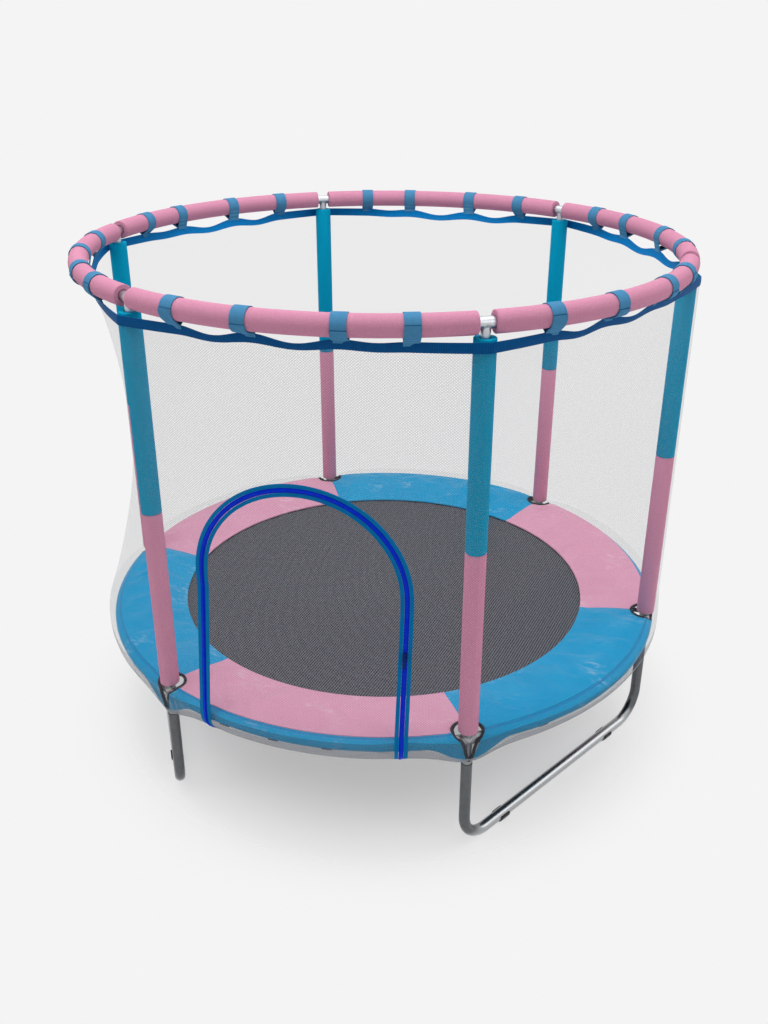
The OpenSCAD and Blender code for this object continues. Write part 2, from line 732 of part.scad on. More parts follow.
module elastic_bands() {
    color(cloth_grey) at_bands() rotate([90, 0, 0]) translate([0, 0, -band_w / 2])
        linear_extrude(band_w) difference() {
            belt(ring_wrap_out, bar_wrap_out);
            belt(ring_wrap_in, bar_wrap_in);
        }
}

// Section of the pad: a rolled inner edge, a swelling top and a flat underside
module pad_section() {
    roll = pad_t / 2;
    low_in = pad_low - pad_slope;
    steps = 8;
    roll_steps = 8;
    function rise(t) = mix(low_in + pad_t, pad_top, t) + pad_crown * 4 * t * (1 - t);
    polygon(concat(
        [for (k = [0:steps]) let (t = k / steps) [mix(pad_in_r + roll, pad_out_r, t), rise(t)]],
        [[pad_out_r, pad_low]],
        [for (k = [0:roll_steps - 1]) let (a = 270 - 180 * k / roll_steps)
            [pad_in_r + roll + roll * cos(a), low_in + roll + roll * sin(a)]]
    ));
}

module pad(i) {
    tall = pad_top + pad_crown;
    color(i % 2 == 0 ? pad_pink : pad_blue) difference() {
        rotate([0, 0, i * bay_turn - 120 + pad_edge_turn])
            rotate_extrude(angle = bay_turn - 2 * pad_edge_turn) pad_section();
        for (k = [0, 1]) at_post(i + k) cylinder(r = hole_r, h = tall + 10);
    }
}

// Skirt: rows run from the pad's edge over the frame and down, as radius, height, outward
// direction and half the width of the opening at a post
skirt_drop = frame_z - skirt_down;
// Room for the flats between the skirt's columns, which lie inside its circle
skirt_off = 2.4;
SKIRT_ROWS = [
    [pad_out_r + skirt_off, pad_top - 1, 0, 1, hole_r],
    [mix(pad_out_r + skirt_off, skirt_r, 0.5), pad_top - 2.5, 0.5, 0.87, hole_r - 3],
    [skirt_r - 2, pad_top - 7, 0.87, 0.5, hole_r - 9],
    [skirt_r, pad_top - 14, 1, 0, hole_r - 15],
    [skirt_r, frame_z + 2, 1, 0, hole_r - 22],
    [skirt_r - 2, skirt_drop, 1, 0, binding_d + 2]
];
skirt_reach = 80;
// The lowest row is drawn down towards the posts, the one above it half as far
function pull_down(d) = d > skirt_reach ? 0 : (1 + cos(180 * d / skirt_reach)) / 2;
function skirt_point(k, t, h) =
    let (row = SKIRT_ROWS[k],
        half = row[0] * half_bay * PI / 180,
        edge = half - row[4],
        s = mix(-edge, edge, t),
        a = s / row[0] * 180 / PI,
        p = pull_down(half - abs(s)),
        drop = corner_down - skirt_down,
        r = row[0] + h * row[2] - (k == 5 ? 1.5 * p : 0),
        z = row[1] + h * row[3] - (k == 5 ? drop * p : k == 4 ? drop * p * 0.4 : 0))
    [r * sin(a), -r * cos(a), z];
// Columns are closer together near the posts, where the skirt is drawn down
SKIRT_COLS = [0, 0.02, 0.045, 0.075, 0.11, 0.2, 0.35, 0.5, 0.65, 0.8, 0.89, 0.925, 0.955, 0.98, 1];

module pad_skirt() {
    function grid(h) = [for (k = [5:-1:0]) [for (t = reverse(SKIRT_COLS)) skirt_point(k, t, h)]];
    color(pad_blue) for (i = [0:5]) in_bay(i) sheet(grid(0), grid(-skirt_t));
}

// Binding along the teardrop hole: round the post on the pad, then down both skirt edges
module hole_binding() {
    rad = binding_d / 2;
    inset = rad + 3 * seam;
    sides = 6;
    round_steps = 10;
    pad_mid = pad_low + pad_t / 2;
    // Half of the outline, from the corner below up to the pad: outwards, sideways, height
    function down_pt(k) = let (row = SKIRT_ROWS[k])
        [row[0] - frame_r - rad * row[2], row[4] - inset,
            row[1] - (k == 5 ? corner_down - skirt_down - rad : k == 4 ? 12 : 0) - rad * row[3]];
    side_pts = [for (k = [5:-1:0]) down_pt(k)];
    ring_r = hole_r - inset;
    head = [for (k = [0:round_steps]) let (a = 90 + 180 * k / round_steps)
        [ring_r * cos(a), ring_r * sin(a), pad_mid]];
    path = concat(side_pts, head, [for (p = reverse(side_pts)) [p[0], -p[1], p[2]]]);
    m = len(path);
    function unit(v) = v / norm(v);
    function dir(i) = unit(path[(i + 1) % m] - path[(i + m - 1) % m]);
    function ring(i) =
        let (t = dir(i), out = unit([1, 0, 1] - ([1, 0, 1] * t) * t), w = cross(t, out))
        [for (j = [0:sides - 1]) let (a = 360 * j / sides)
            path[i] + rad * (cos(a) * out + sin(a) * w)];
    swept([for (i = [0:m - 1]) ring(i)], closed = true);
}

module hole_bindings() {
    color(cloth_grey) for (i = [1:6]) at_post(i) hole_binding();
}

module numbered(name, i) {
    children();
}

module in_each_bay(name, i) {
    children();
}

for (i = [0:5]) {
    in_each_bay("frame_tube", i) frame_tube(i);
    in_each_bay("top_rail", i) top_rail(i);
    in_each_bay("rail_sleeve", i) rail_sleeve(i);
    in_each_bay("pad", i) pad(i);
    numbered("lower_sleeve", i + 1) lower_sleeve(i + 1);
    numbered("upper_sleeve", i + 1) upper_sleeve(i + 1);
}
for (i = [1:5]) in_each_bay("net", i) net_panel(i);
net_front();
leg(1);  // leg_right
leg(3);  // leg_back
leg(5);  // leg_left
foot_clips();
posts();
strap_loops();
net_hem();
door_net();
zip_net_tape();
zip_coil();
zip_door_tape();
zip_slider();
zip_pull();
mat();
mat_loops();
elastic_bands();
pad_skirt();
hole_bindings();
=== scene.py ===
from math import acos, asin, atan2, cos, degrees, exp, hypot, pi, radians, sin, sqrt

import bpy
from mathutils import Matrix, Vector, noise


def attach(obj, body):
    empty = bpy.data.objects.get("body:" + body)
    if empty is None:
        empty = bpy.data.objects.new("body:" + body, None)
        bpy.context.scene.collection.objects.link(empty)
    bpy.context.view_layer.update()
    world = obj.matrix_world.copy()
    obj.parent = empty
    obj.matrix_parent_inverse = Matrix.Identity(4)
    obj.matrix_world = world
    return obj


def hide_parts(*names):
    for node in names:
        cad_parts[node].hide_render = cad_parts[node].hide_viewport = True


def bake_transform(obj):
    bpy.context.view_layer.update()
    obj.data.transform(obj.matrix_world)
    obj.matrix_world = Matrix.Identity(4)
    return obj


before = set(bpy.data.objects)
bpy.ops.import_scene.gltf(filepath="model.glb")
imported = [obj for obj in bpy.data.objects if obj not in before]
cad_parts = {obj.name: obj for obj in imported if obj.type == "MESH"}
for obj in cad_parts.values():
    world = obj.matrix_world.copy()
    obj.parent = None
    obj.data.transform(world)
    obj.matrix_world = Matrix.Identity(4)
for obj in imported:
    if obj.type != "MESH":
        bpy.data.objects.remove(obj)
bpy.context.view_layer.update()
print("frame loaded")

bayNames = ["front", "front_right", "back_right", "back", "back_left", "front_left"]
bayTurn = radians(60)

# sizes of the frame that the soft pieces hang on, in metres
layout = {
    "frameR": 0.690,  # ring, posts and top rail, to the tube centres
    "frameZ": 0.304,
    "frameTubeR": 0.0125,
    "socketR": 0.011,
    "railTubeR": 0.011,
    "stubR": 0.0095,
    "foamR": 0.0215,
    "sleeveLow": 0.328,
    "sleeveLen": 0.428,
    "railZ": 1.2113,
    "padLow": 0.3191,
    "padTop": 0.3301,
    "padOutR": 0.692,
    "skirtR": 0.7090,
    "holeR": 0.038,
    "seam": 0.0003,
}


def clearSelection():
    if bpy.context.object and bpy.context.object.mode != "OBJECT":
        bpy.ops.object.mode_set(mode="OBJECT")
    bpy.ops.object.select_all(action="DESELECT")


def pick(obj):
    clearSelection()
    obj.select_set(True)
    bpy.context.view_layer.objects.active = obj
    return obj


def applyModifier(obj, kind, **settings):
    pick(obj)
    modifier = obj.modifiers.new(kind.title(), kind)
    for key, value in settings.items():
        setattr(modifier, key, value)
    bpy.ops.object.modifier_apply(modifier=modifier.name)
    return obj


# a flat grid whose corners are moved to their places, with UVs in metres; a rolled one is closed at
# its seam, thick is the cloth's thickness, and edges under the angle are smoothed
def clothGrid(name, columns, rows, place, thick=0.0, angle=0, rolled=False):
    clearSelection()
    bpy.ops.mesh.primitive_grid_add(x_subdivisions=columns, y_subdivisions=rows, size=1)
    obj = bpy.context.object
    obj.name = name
    uvs = obj.data.uv_layers.active.data
    spots = []
    for vert in obj.data.vertices:
        u = round((vert.co.x + 0.5) * columns) / columns
        v = round((vert.co.y + 0.5) * rows) / rows
        where, uv = place(u, v)
        vert.co = where
        spots.append(uv)
    for loop in obj.data.loops:
        uvs[loop.index].uv = spots[loop.vertex_index]
    if rolled:
        closeUp(obj)
    if thick:
        thicken(obj, thick)
    if angle:
        smoothOver(obj, angle)
    return obj


# welds the seam of a grid that was rolled up, and turns its faces outwards
def closeUp(obj, fillEnds=False):
    pick(obj)
    bpy.ops.object.mode_set(mode="EDIT")
    bpy.ops.mesh.select_all(action="SELECT")
    bpy.ops.mesh.remove_doubles(threshold=0.00001)
    if fillEnds:
        bpy.ops.mesh.select_all(action="DESELECT")
        bpy.ops.mesh.select_non_manifold()
        bpy.ops.mesh.fill_holes(sides=0)
    bpy.ops.mesh.select_all(action="SELECT")
    bpy.ops.mesh.normals_make_consistent(inside=False)
    bpy.ops.object.mode_set(mode="OBJECT")
    return obj


def thicken(obj, thickness, offset=0.0):
    return applyModifier(obj, "SOLIDIFY", thickness=thickness, offset=offset)


def softenEdges(obj, width, segments=2, angle=40):
    return applyModifier(obj, "BEVEL", width=width, segments=segments,
                         limit_method="ANGLE", angle_limit=radians(angle))


def smoothOver(obj, angle=50):
    pick(obj)
    bpy.ops.object.shade_smooth_by_angle(angle=radians(angle))
    return obj


def turnedCopy(obj, name, turn, shift=(0, 0, 0)):
    pick(obj)
    bpy.ops.object.duplicate(linked=False)
    other = bpy.context.object
    other.name = name
    other.data.transform(Matrix.Rotation(turn, 4, "Z") @ Matrix.Translation(shift))
    return other


def joinAll(name, parts):
    clearSelection()
    for part in parts:
        part.select_set(True)
    bpy.context.view_layer.objects.active = parts[0]
    bpy.ops.object.join()
    parts[0].name = name
    return parts[0]


# the last step of every piece: finish, body and the CAD solids that it stands for
def settle(obj, material, body, slot, *nodes):
    obj.data.materials.clear()
    obj.data.materials.append(material)
    if nodes:
        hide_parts(*nodes)
    if body:
        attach(obj, body)
    return obj


def mix(a, b, t):
    return a + (b - a) * t


def smooth(t):
    t = min(1.0, max(0.0, t))
    return t * t * (3 - 2 * t)


# a bay's own directions: u to the right as seen from outside, n outwards from the axis
def inBay(bay, u, n, z):
    turn = bay * bayTurn
    return Vector((u * cos(turn) + n * sin(turn),
                   u * sin(turn) - n * cos(turn), z))


def postTurn(post):
    return radians((post - 1) * 60 - 60)


def linear(code):
    out = []
    for at in (1, 3, 5):
        c = int(code[at:at + 2], 16) / 255
        out.append(c / 12.92 if c <= 0.04045 else ((c + 0.055) / 1.055) ** 2.4)
    return (*out, 1.0)


# links are {input: (node, output)}; feeds is (output, node, input) for a link onwards
def addNode(tree, kind, values=None, links=None, feeds=None):
    node = tree.nodes.new("ShaderNode" + kind)
    for key, value in (values or {}).items():
        if isinstance(key, int) or key in node.inputs:
            node.inputs[key].default_value = value
        else:
            setattr(node, key, value)
    for key, (source, output) in (links or {}).items():
        tree.links.new(source.outputs[output], node.inputs[key])
    if feeds:
        tree.links.new(node.outputs[feeds[0]], feeds[1].inputs[feeds[2]])
    return node


def newSurface(name, **shader):
    material = bpy.data.materials.new(name)
    material.use_nodes = True
    tree = material.node_tree
    body = tree.nodes["Principled BSDF"]
    for key, value in shader.items():
        body.inputs[key.replace("_", " ").title().replace("Ior", "IOR")].default_value = value
    spot = addNode(tree, "TexCoord")
    at = {kind: {"Vector": (spot, kind)} for kind in ("Object", "UV")}  # links to where a pattern is read
    return material, tree, body, at


waveUnit = 0.314  # a wave texture at scale 1 repeats every 0.314 units


# galvanised steel: hot-dip zinc on tube, a grey metal with faint patches of brighter crystals,
# grain apart; paintedSheen is a painted reflection, a lighter colour on a leg's bar low down, as if the
# floor lit it
def zincSurface(name, dark, pale, grain, dullest, paintedSheen=None):
    material, tree, body, at = newSurface(name, metallic=1.0)
    spangle = addNode(tree, "TexNoise", {"Scale": 1 / grain, "Detail": 3.0}, at["Object"])
    tint = addNode(tree, "Mix", {"data_type": "RGBA", 6: linear(dark), 7: linear(pale)},
                   {0: (spangle, "Fac")})
    if paintedSheen:
        # painted reflection: the tube is lighter below 45 mm, on a leg's bar
        height = addNode(tree, "SeparateXYZ", {}, at["Object"])
        low = addNode(tree, "MapRange", {"From Min": 0.045, "From Max": 0.022}, {"Value": (height, "Z")})
        tint = addNode(tree, "Mix", {"data_type": "RGBA", 7: linear(paintedSheen)},
                       {0: (low, "Result"), 6: (tint, 2)})
    tree.links.new(tint.outputs[2], body.inputs["Base Color"])
    addNode(tree, "MapRange", {"To Min": 0.22, "To Max": dullest}, {"Value": (spangle, "Fac")},
            ("Result", body, "Roughness"))
    scratch = addNode(tree, "TexNoise", {"Scale": 1 / 0.002, "Detail": 2.0}, at["Object"])
    relief = addNode(tree, "Bump", {"Strength": 0.06, "Distance": 0.0004}, {"Height": (scratch, "Fac")})
    tree.links.new(relief.outputs["Normal"], body.inputs["Normal"])
    return material


# painted shade: the legs' uprights get darker greys than the ring's zinc
shadedLegZinc = zincSurface("galvanised_steel", "#54575A", "#6A6C6E", 0.014, 0.36, "#AEB0B2")
ringZinc = zincSurface("galvanised_ring", "#808285", "#9A9C9E", 0.014, 0.60)
# painted light: the top fittings get lighter greys than the ring's zinc, as if lit from above
litZinc = zincSurface("zinc_painted_light", "#AEB2B8", "#D2D6DA", 0.008, 0.40)


# hard finishes with a fine grain: two close colours in a cloud, with a relief or a changing dullness
def grainSurface(name, grain, detail, dark, pale, bump=None, dull=None, **shader):
    material, tree, body, at = newSurface(name, **shader)
    cloud = addNode(tree, "TexNoise", {"Scale": 1 / grain, "Detail": detail}, at["Object"])
    addNode(tree, "Mix", {"data_type": "RGBA", 6: linear(dark), 7: linear(pale)}, {0: (cloud, "Fac")},
            (2, body, "Base Color"))
    if bump:
        addNode(tree, "Bump", {"Strength": bump[0], "Distance": bump[1]}, {"Height": (cloud, "Fac")},
                ("Normal", body, "Normal"))
    if dull:
        addNode(tree, "MapRange", {"To Min": dull[0], "To Max": dull[1]}, {"Value": (cloud, "Fac")},
                ("Result", body, "Roughness"))
    return material


# weld bead: rippled silver paint over the seam
weld = grainSurface("painted_weld", 0.003, 2.0, "#9A9C9D", "#C9CBCC", bump=(0.5, 0.0008),
                    metallic=0.9, roughness=0.45)
# rubber: moulded, black and dull
rubber = grainSurface("black_rubber", 0.004, 3.0, "#131416", "#26292C", bump=(0.15, 0.0005),
                      roughness=0.62, ior=1.52)
# plated steel: small wire parts with a bright zinc finish
plated = grainSurface("plated_steel", 0.005, 2.0, "#A9ACAF", "#C8CBCD", dull=(0.22, 0.36), metallic=1.0)
# enamelled die-cast zip parts: dark blue gloss paint
enamel = grainSurface("blue_enamel", 0.004, 3.0, "#061A5C", "#0C2C84",
                      roughness=0.5, ior=1.5, specular_ior_level=0.1)


# polyethylene foam: extruded tube with a dull skin, full of small cells that show as speckles
def foamSurface(name, dark, mid, pale):
    material, tree, body, at = newSurface(name, roughness=0.8, ior=1.45, specular_ior_level=0.08)
    # cells are about 1 mm; drawn at 2.6 mm, as finer ones don't show
    cells = addNode(tree, "TexVoronoi", {"Scale": 1 / 0.0026}, at["Object"])
    cloud = addNode(tree, "TexNoise", {"Scale": 1 / 0.007, "Detail": 4.0, "Roughness": 0.65},
                    at["Object"])
    speck = addNode(tree, "MapRange", {"From Min": 0.1, "From Max": 0.75}, {"Value": (cells, "Distance")})
    low = addNode(tree, "Mix", {"data_type": "RGBA", 6: linear(dark), 7: linear(mid)},
                  {0: (cloud, "Fac")})
    addNode(tree, "Mix", {"data_type": "RGBA", 7: linear(pale)},
            {0: (speck, "Result"), 6: (low, 2)}, (2, body, "Base Color"))
    addNode(tree, "Bump", {"Strength": 0.25, "Distance": 0.0008},
            {"Height": (cells, "Distance")}, ("Normal", body, "Normal"))
    return material


pinkFoam = foamSurface("pink_pe_foam", "#C37E9A", "#C886A1", "#CF8FA9")
# the posts get a lighter copy of the rails' pink foam: painted light, to make up for the shade on the
# posts behind the net
litPostFoam = foamSurface("pink_pe_foam_post_painted_light", "#D487A5", "#DA90AD", "#E19AB6")
blueFoam = foamSurface("teal_pe_foam", "#008DB3", "#0096BE", "#009EC6")


# coated polyester: woven cloth under a thin glossy skin of PVC, with creases that catch the light and
# painted glints
def coverSurface(name, dark, pale, seamAt=None):
    material, tree, body, at = newSurface(name, roughness=0.34, ior=1.5, specular_ior_level=0.09)
    cloud = addNode(tree, "TexNoise", {"Scale": 1 / 0.09, "Detail": 3.0}, at["Object"])
    tint = addNode(tree, "Mix", {"data_type": "RGBA", 6: linear(dark), 7: linear(pale)},
                   {0: (cloud, "Fac")})
    # painted highlights: here and there a patch of short pale smears, glints of light off the creased
    # skin
    patch = addNode(tree, "TexNoise", {"Scale": 1 / 0.11, "Detail": 1.0}, at["Object"])
    where = addNode(tree, "MapRange", {"From Min": 0.56, "From Max": 0.70}, {"Value": (patch, "Fac")})
    streak = addNode(tree, "Mapping", {"Scale": (38, 120, 38), "Rotation": (0, 0, 0.5)}, at["Object"])
    smear = addNode(tree, "TexNoise", {"Scale": 1.0, "Detail": 3.0, "Roughness": 0.6},
                    {"Vector": (streak, "Vector")})
    short = addNode(tree, "MapRange", {"From Min": 0.50, "From Max": 0.80, "To Max": 0.45},
                    {"Value": (smear, "Fac")})
    paintedGlint = addNode(tree, "Math", {"operation": "MULTIPLY"}, {0: (where, "Result"), 1: (short, "Result")})
    paintedSheen = addNode(tree, "Mix", {"data_type": "RGBA", 7: linear("#F2EEF2")},
                     {0: (paintedGlint, "Value"), 6: (tint, 2)})
    if seamAt:
        # the seam's stitched groove, a darker line at a height of the cloth
        along = addNode(tree, "SeparateXYZ", {}, at["UV"])
        groove = addNode(tree, "Math", {"operation": "COMPARE", 1: seamAt, 2: 0.0022}, {0: (along, "Y")})
        paintedSheen = addNode(tree, "Mix", {"data_type": "RGBA", 7: linear("#1380BA")},
                         {0: (groove, "Value"), 6: (paintedSheen, 2)})
    tree.links.new(paintedSheen.outputs[2], body.inputs["Base Color"])
    crease = addNode(tree, "TexNoise", {"Scale": 1 / 0.03, "Detail": 5.0, "Roughness": 0.6,
                     "Distortion": 0.6}, at["Object"])
    fine = addNode(tree, "TexNoise", {"Scale": 1 / 0.003, "Detail": 2.0}, at["Object"])
    both = addNode(tree, "Math", {"operation": "MULTIPLY_ADD", 1: 0.06},
                   {0: (fine, "Fac"), 2: (crease, "Fac")})
    addNode(tree, "Bump", {"Strength": 0.35, "Distance": 0.006}, {"Height": (both, "Value")},
            ("Normal", body, "Normal"))
    return material


pinkCover = coverSurface("pink_coated_polyester", "#D696B1", "#DCA2BA")
blueCover = coverSurface("blue_coated_polyester", "#0090C4", "#009CCC")
skirtCover = coverSurface("blue_coated_polyester_skirt", "#0090C4", "#009CCC", 0.0055)


# webbing and tape: woven polyester ribs across the band; spacing is the rib pitch in metres
def wovenSurface(name, dark, pale, spacing, roughness=0.75, direction="X", seamAt=None):
    material, tree, body, at = newSurface(name, roughness=roughness, ior=1.5, specular_ior_level=0.07)
    rib = addNode(tree, "TexWave", {"bands_direction": direction, "Scale": waveUnit / spacing,
                  "Distortion": 0.6, "Detail": 1.0}, at["UV"])
    fuzz = addNode(tree, "TexNoise", {"Scale": 1 / 0.012, "Detail": 3.0}, at["UV"])
    blendOf = addNode(tree, "Math", {"operation": "MULTIPLY"}, {0: (rib, "Fac"), 1: (fuzz, "Fac")})
    tint = addNode(tree, "Mix", {"data_type": "RGBA", 6: linear(dark), 7: linear(pale)},
                   {0: (blendOf, "Value")})
    if seamAt:
        # the turned end's edge, a shaded line at a place along the band
        along = addNode(tree, "SeparateXYZ", {}, at["UV"])
        edge = addNode(tree, "Math", {"operation": "COMPARE", 1: seamAt, 2: 0.0013}, {0: (along, "X")})
        tint = addNode(tree, "Mix", {"data_type": "RGBA", 7: linear("#2C5F88")},
                       {0: (edge, "Value"), 6: (tint, 2)})
    tree.links.new(tint.outputs[2], body.inputs["Base Color"])
    addNode(tree, "Bump", {"Strength": 0.3, "Distance": 0.0006}, {"Height": (rib, "Fac")},
            ("Normal", body, "Normal"))
    return material


strapWeb = wovenSurface("blue_webbing", "#3D7CA6", "#609AC0", 0.0022, seamAt=0.0413)
hemCloth = wovenSurface("blue_hem_cloth", "#00447A", "#0062A2", 0.0030, 0.6)
# a lighter copy of the hem's blue, painted light for the band's faces towards the axis
hemLitFace = wovenSurface("blue_hem_painted_light", "#006AAE", "#008CCE", 0.0030, 0.45)
tapeCloth = wovenSurface("blue_zip_tape", "#0068A0", "#0084C0", 0.0022, direction="Y")
coilNylon = wovenSurface("blue_zip_coil", "#0024C0", "#0044EC", 0.0030, 0.5)
bandElastic = wovenSurface("black_elastic", "#161719", "#2B2D30", 0.0025, 0.8, "Y")
bindingCloth = wovenSurface("grey_binding_tape", "#1C1E21", "#33363A", 0.0026)

# jumping cloth: woven polypropylene tape, dark grey with a fine pale speckle of crossings
matCloth, tree, body, at = newSurface("woven_polypropylene", roughness=0.7, ior=1.49,
                                      specular_ior_level=0.06)
# a twill of tapes about 2 mm wide, drawn at 6 mm so that the weave shows
ribs = []
for lean in (10, -40):
    turned = addNode(tree, "Mapping", {"Rotation": (0, 0, radians(lean))}, at["UV"])
    ribs.append(addNode(tree, "TexWave", {"bands_direction": "X", "Scale": waveUnit / 0.006},
                        {"Vector": (turned, "Vector")}))
crossing = addNode(tree, "Math", {"operation": "MULTIPLY_ADD", 1: 0.35},
                   {0: (ribs[1], "Fac"), 2: (ribs[0], "Fac")})
mottle = addNode(tree, "TexNoise", {"Scale": 1 / 0.008, "Detail": 4.0, "Roughness": 0.7}, at["UV"])
speck = addNode(tree, "Math", {"operation": "MULTIPLY_ADD", 1: 1.0},
                {0: (crossing, "Value"), 2: (mottle, "Fac")})
level = addNode(tree, "MapRange", {"From Min": 0.6, "From Max": 1.7}, {"Value": (speck, "Value")})
addNode(tree, "Mix", {"data_type": "RGBA", 6: linear("#0A0B0D"), 7: linear("#6F7178")},
        {0: (level, "Result")}, (2, body, "Base Color"))
addNode(tree, "Bump", {"Strength": 0.3, "Distance": 0.001}, {"Height": (crossing, "Value")},
        ("Normal", body, "Normal"))


# enclosure net: knitted polyester with diagonal threads, mostly open, that let some light through;
# seen from inside it is sheer; the real holes are about 2.5 mm and are drawn at 4 mm so that the
# threads show
def netSurface(name, cover, veil, sheer, tone="#828288", through="#B0B0B6", hemAt=None):
    material, tree, body, at = newSurface(name, roughness=0.8, ior=1.5, specular_ior_level=0.1)
    threads = []
    for lean in (1, -1):
        turned = addNode(tree, "Mapping", {"Rotation": (0, 0, lean * radians(48))}, at["UV"])
        wave = addNode(tree, "TexWave", {"bands_direction": "X", "Scale": waveUnit / 0.004},
                       {"Vector": (turned, "Vector")})
        threads.append(addNode(tree, "MapRange", {"From Min": 0.50, "From Max": 0.94},
                               {"Value": (wave, "Fac")}))
    either = addNode(tree, "Math", {"operation": "MAXIMUM"},
                     {0: (threads[0], "Result"), 1: (threads[1], "Result")})
    outside = addNode(tree, "Math", {"operation": "MULTIPLY_ADD", 1: cover, 2: veil},
                      {0: (either, "Value")})
    body.inputs["Base Color"].default_value = linear(tone)
    if hemAt:
        # a hem at the lower edge, below this height on the cloth, has more layers
        height = addNode(tree, "SeparateXYZ", {}, at["UV"])
        sewn = addNode(tree, "Math", {"operation": "LESS_THAN", 1: hemAt}, {0: (height, "Y")})
        outside = addNode(tree, "Math", {"operation": "MULTIPLY_ADD", 1: 0.45},
                          {0: (sewn, "Value"), 2: (outside, "Value")})
        addNode(tree, "Mix", {"data_type": "RGBA", 6: linear(tone), 7: linear("#C0C2C8")},
                {0: (sewn, "Value")}, (2, body, "Base Color"))
    face = addNode(tree, "NewGeometry")
    share = addNode(tree, "Mix", {3: sheer}, {0: (face, "Backfacing"), 2: (outside, "Value")})
    glow = addNode(tree, "BsdfTranslucent", {"Color": linear(through)})
    thread = addNode(tree, "MixShader", {0: 0.5}, {1: (body, "BSDF"), 2: (glow, "BSDF")})
    hole = addNode(tree, "BsdfTransparent")
    cloth = addNode(tree, "MixShader", {}, {0: (share, 0), 1: (hole, "BSDF"), 2: (thread, "Shader")})
    tree.links.new(cloth.outputs["Shader"], tree.nodes["Material Output"].inputs["Surface"])
    return material


netMesh = netSurface("knitted_polyester_net", 0.21, 0.068, 0.100)
sideMesh = netSurface("fine_polyester_net", 0.115, 0.085, 0.100)
# the doubled band's threads are painted darker, in colour and in the light they let through, as shade low
# down by the skirt
shadedNetFold = netSurface("folded_polyester_net_painted_shade", 0.46, 0.04, 0.06, "#5C5F66", "#6A6D74", 0.009)

print("materials made")

# solids that keep their CAD shape, by how their names start, and the finish that each gets
coats = {"leg_": shadedLegZinc, "frame_tube": ringZinc, "posts": ringZinc, "top_rail": litZinc,
         "foot_clips": rubber, "mat_loops": plated, "zip_slider": enamel, "zip_pull": enamel}
for name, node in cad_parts.items():
    for start, coat in coats.items():
        if name.startswith(start):
            node.data.materials.clear()
            node.data.materials.append(coat)

# foam sleeves: a tube wall with softened ends, stood on a post or swept along the rail
foam = {"wall": 0.0101, "round": 0.0016, "sides": 64, "railGap": 0.033}


def foamFinish(obj):
    thicken(obj, foam["wall"], -1.0)
    softenEdges(obj, foam["round"], 3)
    return smoothOver(obj, 35)


clearSelection()
bpy.ops.mesh.primitive_cylinder_add(
    vertices=foam["sides"], radius=layout["foamR"], depth=layout["sleeveLen"], end_fill_type="NOTHING",
    location=(layout["frameR"], 0, layout["sleeveLow"] + layout["sleeveLen"] / 2))
bpy.ops.object.transform_apply(location=True, rotation=True, scale=True)
sleeve = foamFinish(bpy.context.object)
for post in range(1, 7):
    low = turnedCopy(sleeve, f"lower_foam_{post}", postTurn(post))
    settle(low, litPostFoam, "frame", "pink_foam", f"lower_sleeve_{post}")
    lift = layout["sleeveLen"] + layout["seam"]
    high = turnedCopy(sleeve, f"upper_foam_{post}", postTurn(post), (0, 0, lift))
    settle(high, blueFoam, "frame", "blue_foam", f"upper_sleeve_{post}")
bpy.data.objects.remove(sleeve)

# rail foam: a circle spun about the object's axis over one bay, short of the posts at both ends
gapTurn = foam["railGap"] / 2 / layout["frameR"]
clearSelection()
bpy.ops.mesh.primitive_circle_add(
    vertices=foam["sides"], radius=layout["foamR"], location=(layout["frameR"], 0, layout["railZ"]),
    rotation=(pi / 2, 0, 0))
bpy.ops.object.transform_apply(location=True, rotation=True, scale=True)
railFoam = bpy.context.object
railFoam.data.transform(Matrix.Rotation(radians(-60) - gapTurn, 4, "Z"))  # spin runs clockwise
bpy.ops.object.mode_set(mode="EDIT")
bpy.ops.mesh.select_all(action="SELECT")
bpy.ops.mesh.spin(steps=36, angle=bayTurn - 2 * gapTurn, center=(0, 0, 0), axis=(0, 0, 1))
bpy.ops.object.mode_set(mode="OBJECT")
closeUp(railFoam)
foamFinish(railFoam)
for bay, name in enumerate(bayNames):
    piece = turnedCopy(railFoam, f"rail_foam_{name}", bay * bayTurn)
    settle(piece, pinkFoam, "frame", "pink_foam", f"rail_sleeve_{name}")
bpy.data.objects.remove(railFoam)
print("foam made")

# weld beads: rings bent to the saddle between two crossing tubes
welds = {"beadR": 0.0018, "lump": 0.0004, "lumps": 260}


def weldRing(name, ringR, tubeR, centreZ, side):
    clearSelection()
    bpy.ops.mesh.primitive_torus_add(major_radius=ringR, minor_radius=welds["beadR"],
                                     major_segments=56, minor_segments=10)
    ring = bpy.context.object
    ring.name = name
    for vert in ring.data.vertices:
        across = min(abs(vert.co.x), tubeR * 0.98)
        vert.co.z += centreZ + side * sqrt(tubeR * tubeR - across * across)
        vert.co += welds["lump"] * noise.noise(vert.co * welds["lumps"]) * Vector((1, 1, 1))
        vert.co.x += layout["frameR"]
    return smoothOver(ring, 80)


stubWeld = weldRing("stub_weld", layout["stubR"], layout["railTubeR"], layout["railZ"], -1)
socketWeld = weldRing("socket_weld", layout["socketR"], layout["frameTubeR"], layout["frameZ"], 1)
for post in range(1, 7):
    for ring, label in ((stubWeld, "stub"), (socketWeld, "socket")):
        bead = turnedCopy(ring, f"{label}_weld_{post}", postTurn(post))
        settle(bead, weld, "frame", "galvanised_steel")
bpy.data.objects.remove(stubWeld)
bpy.data.objects.remove(socketWeld)

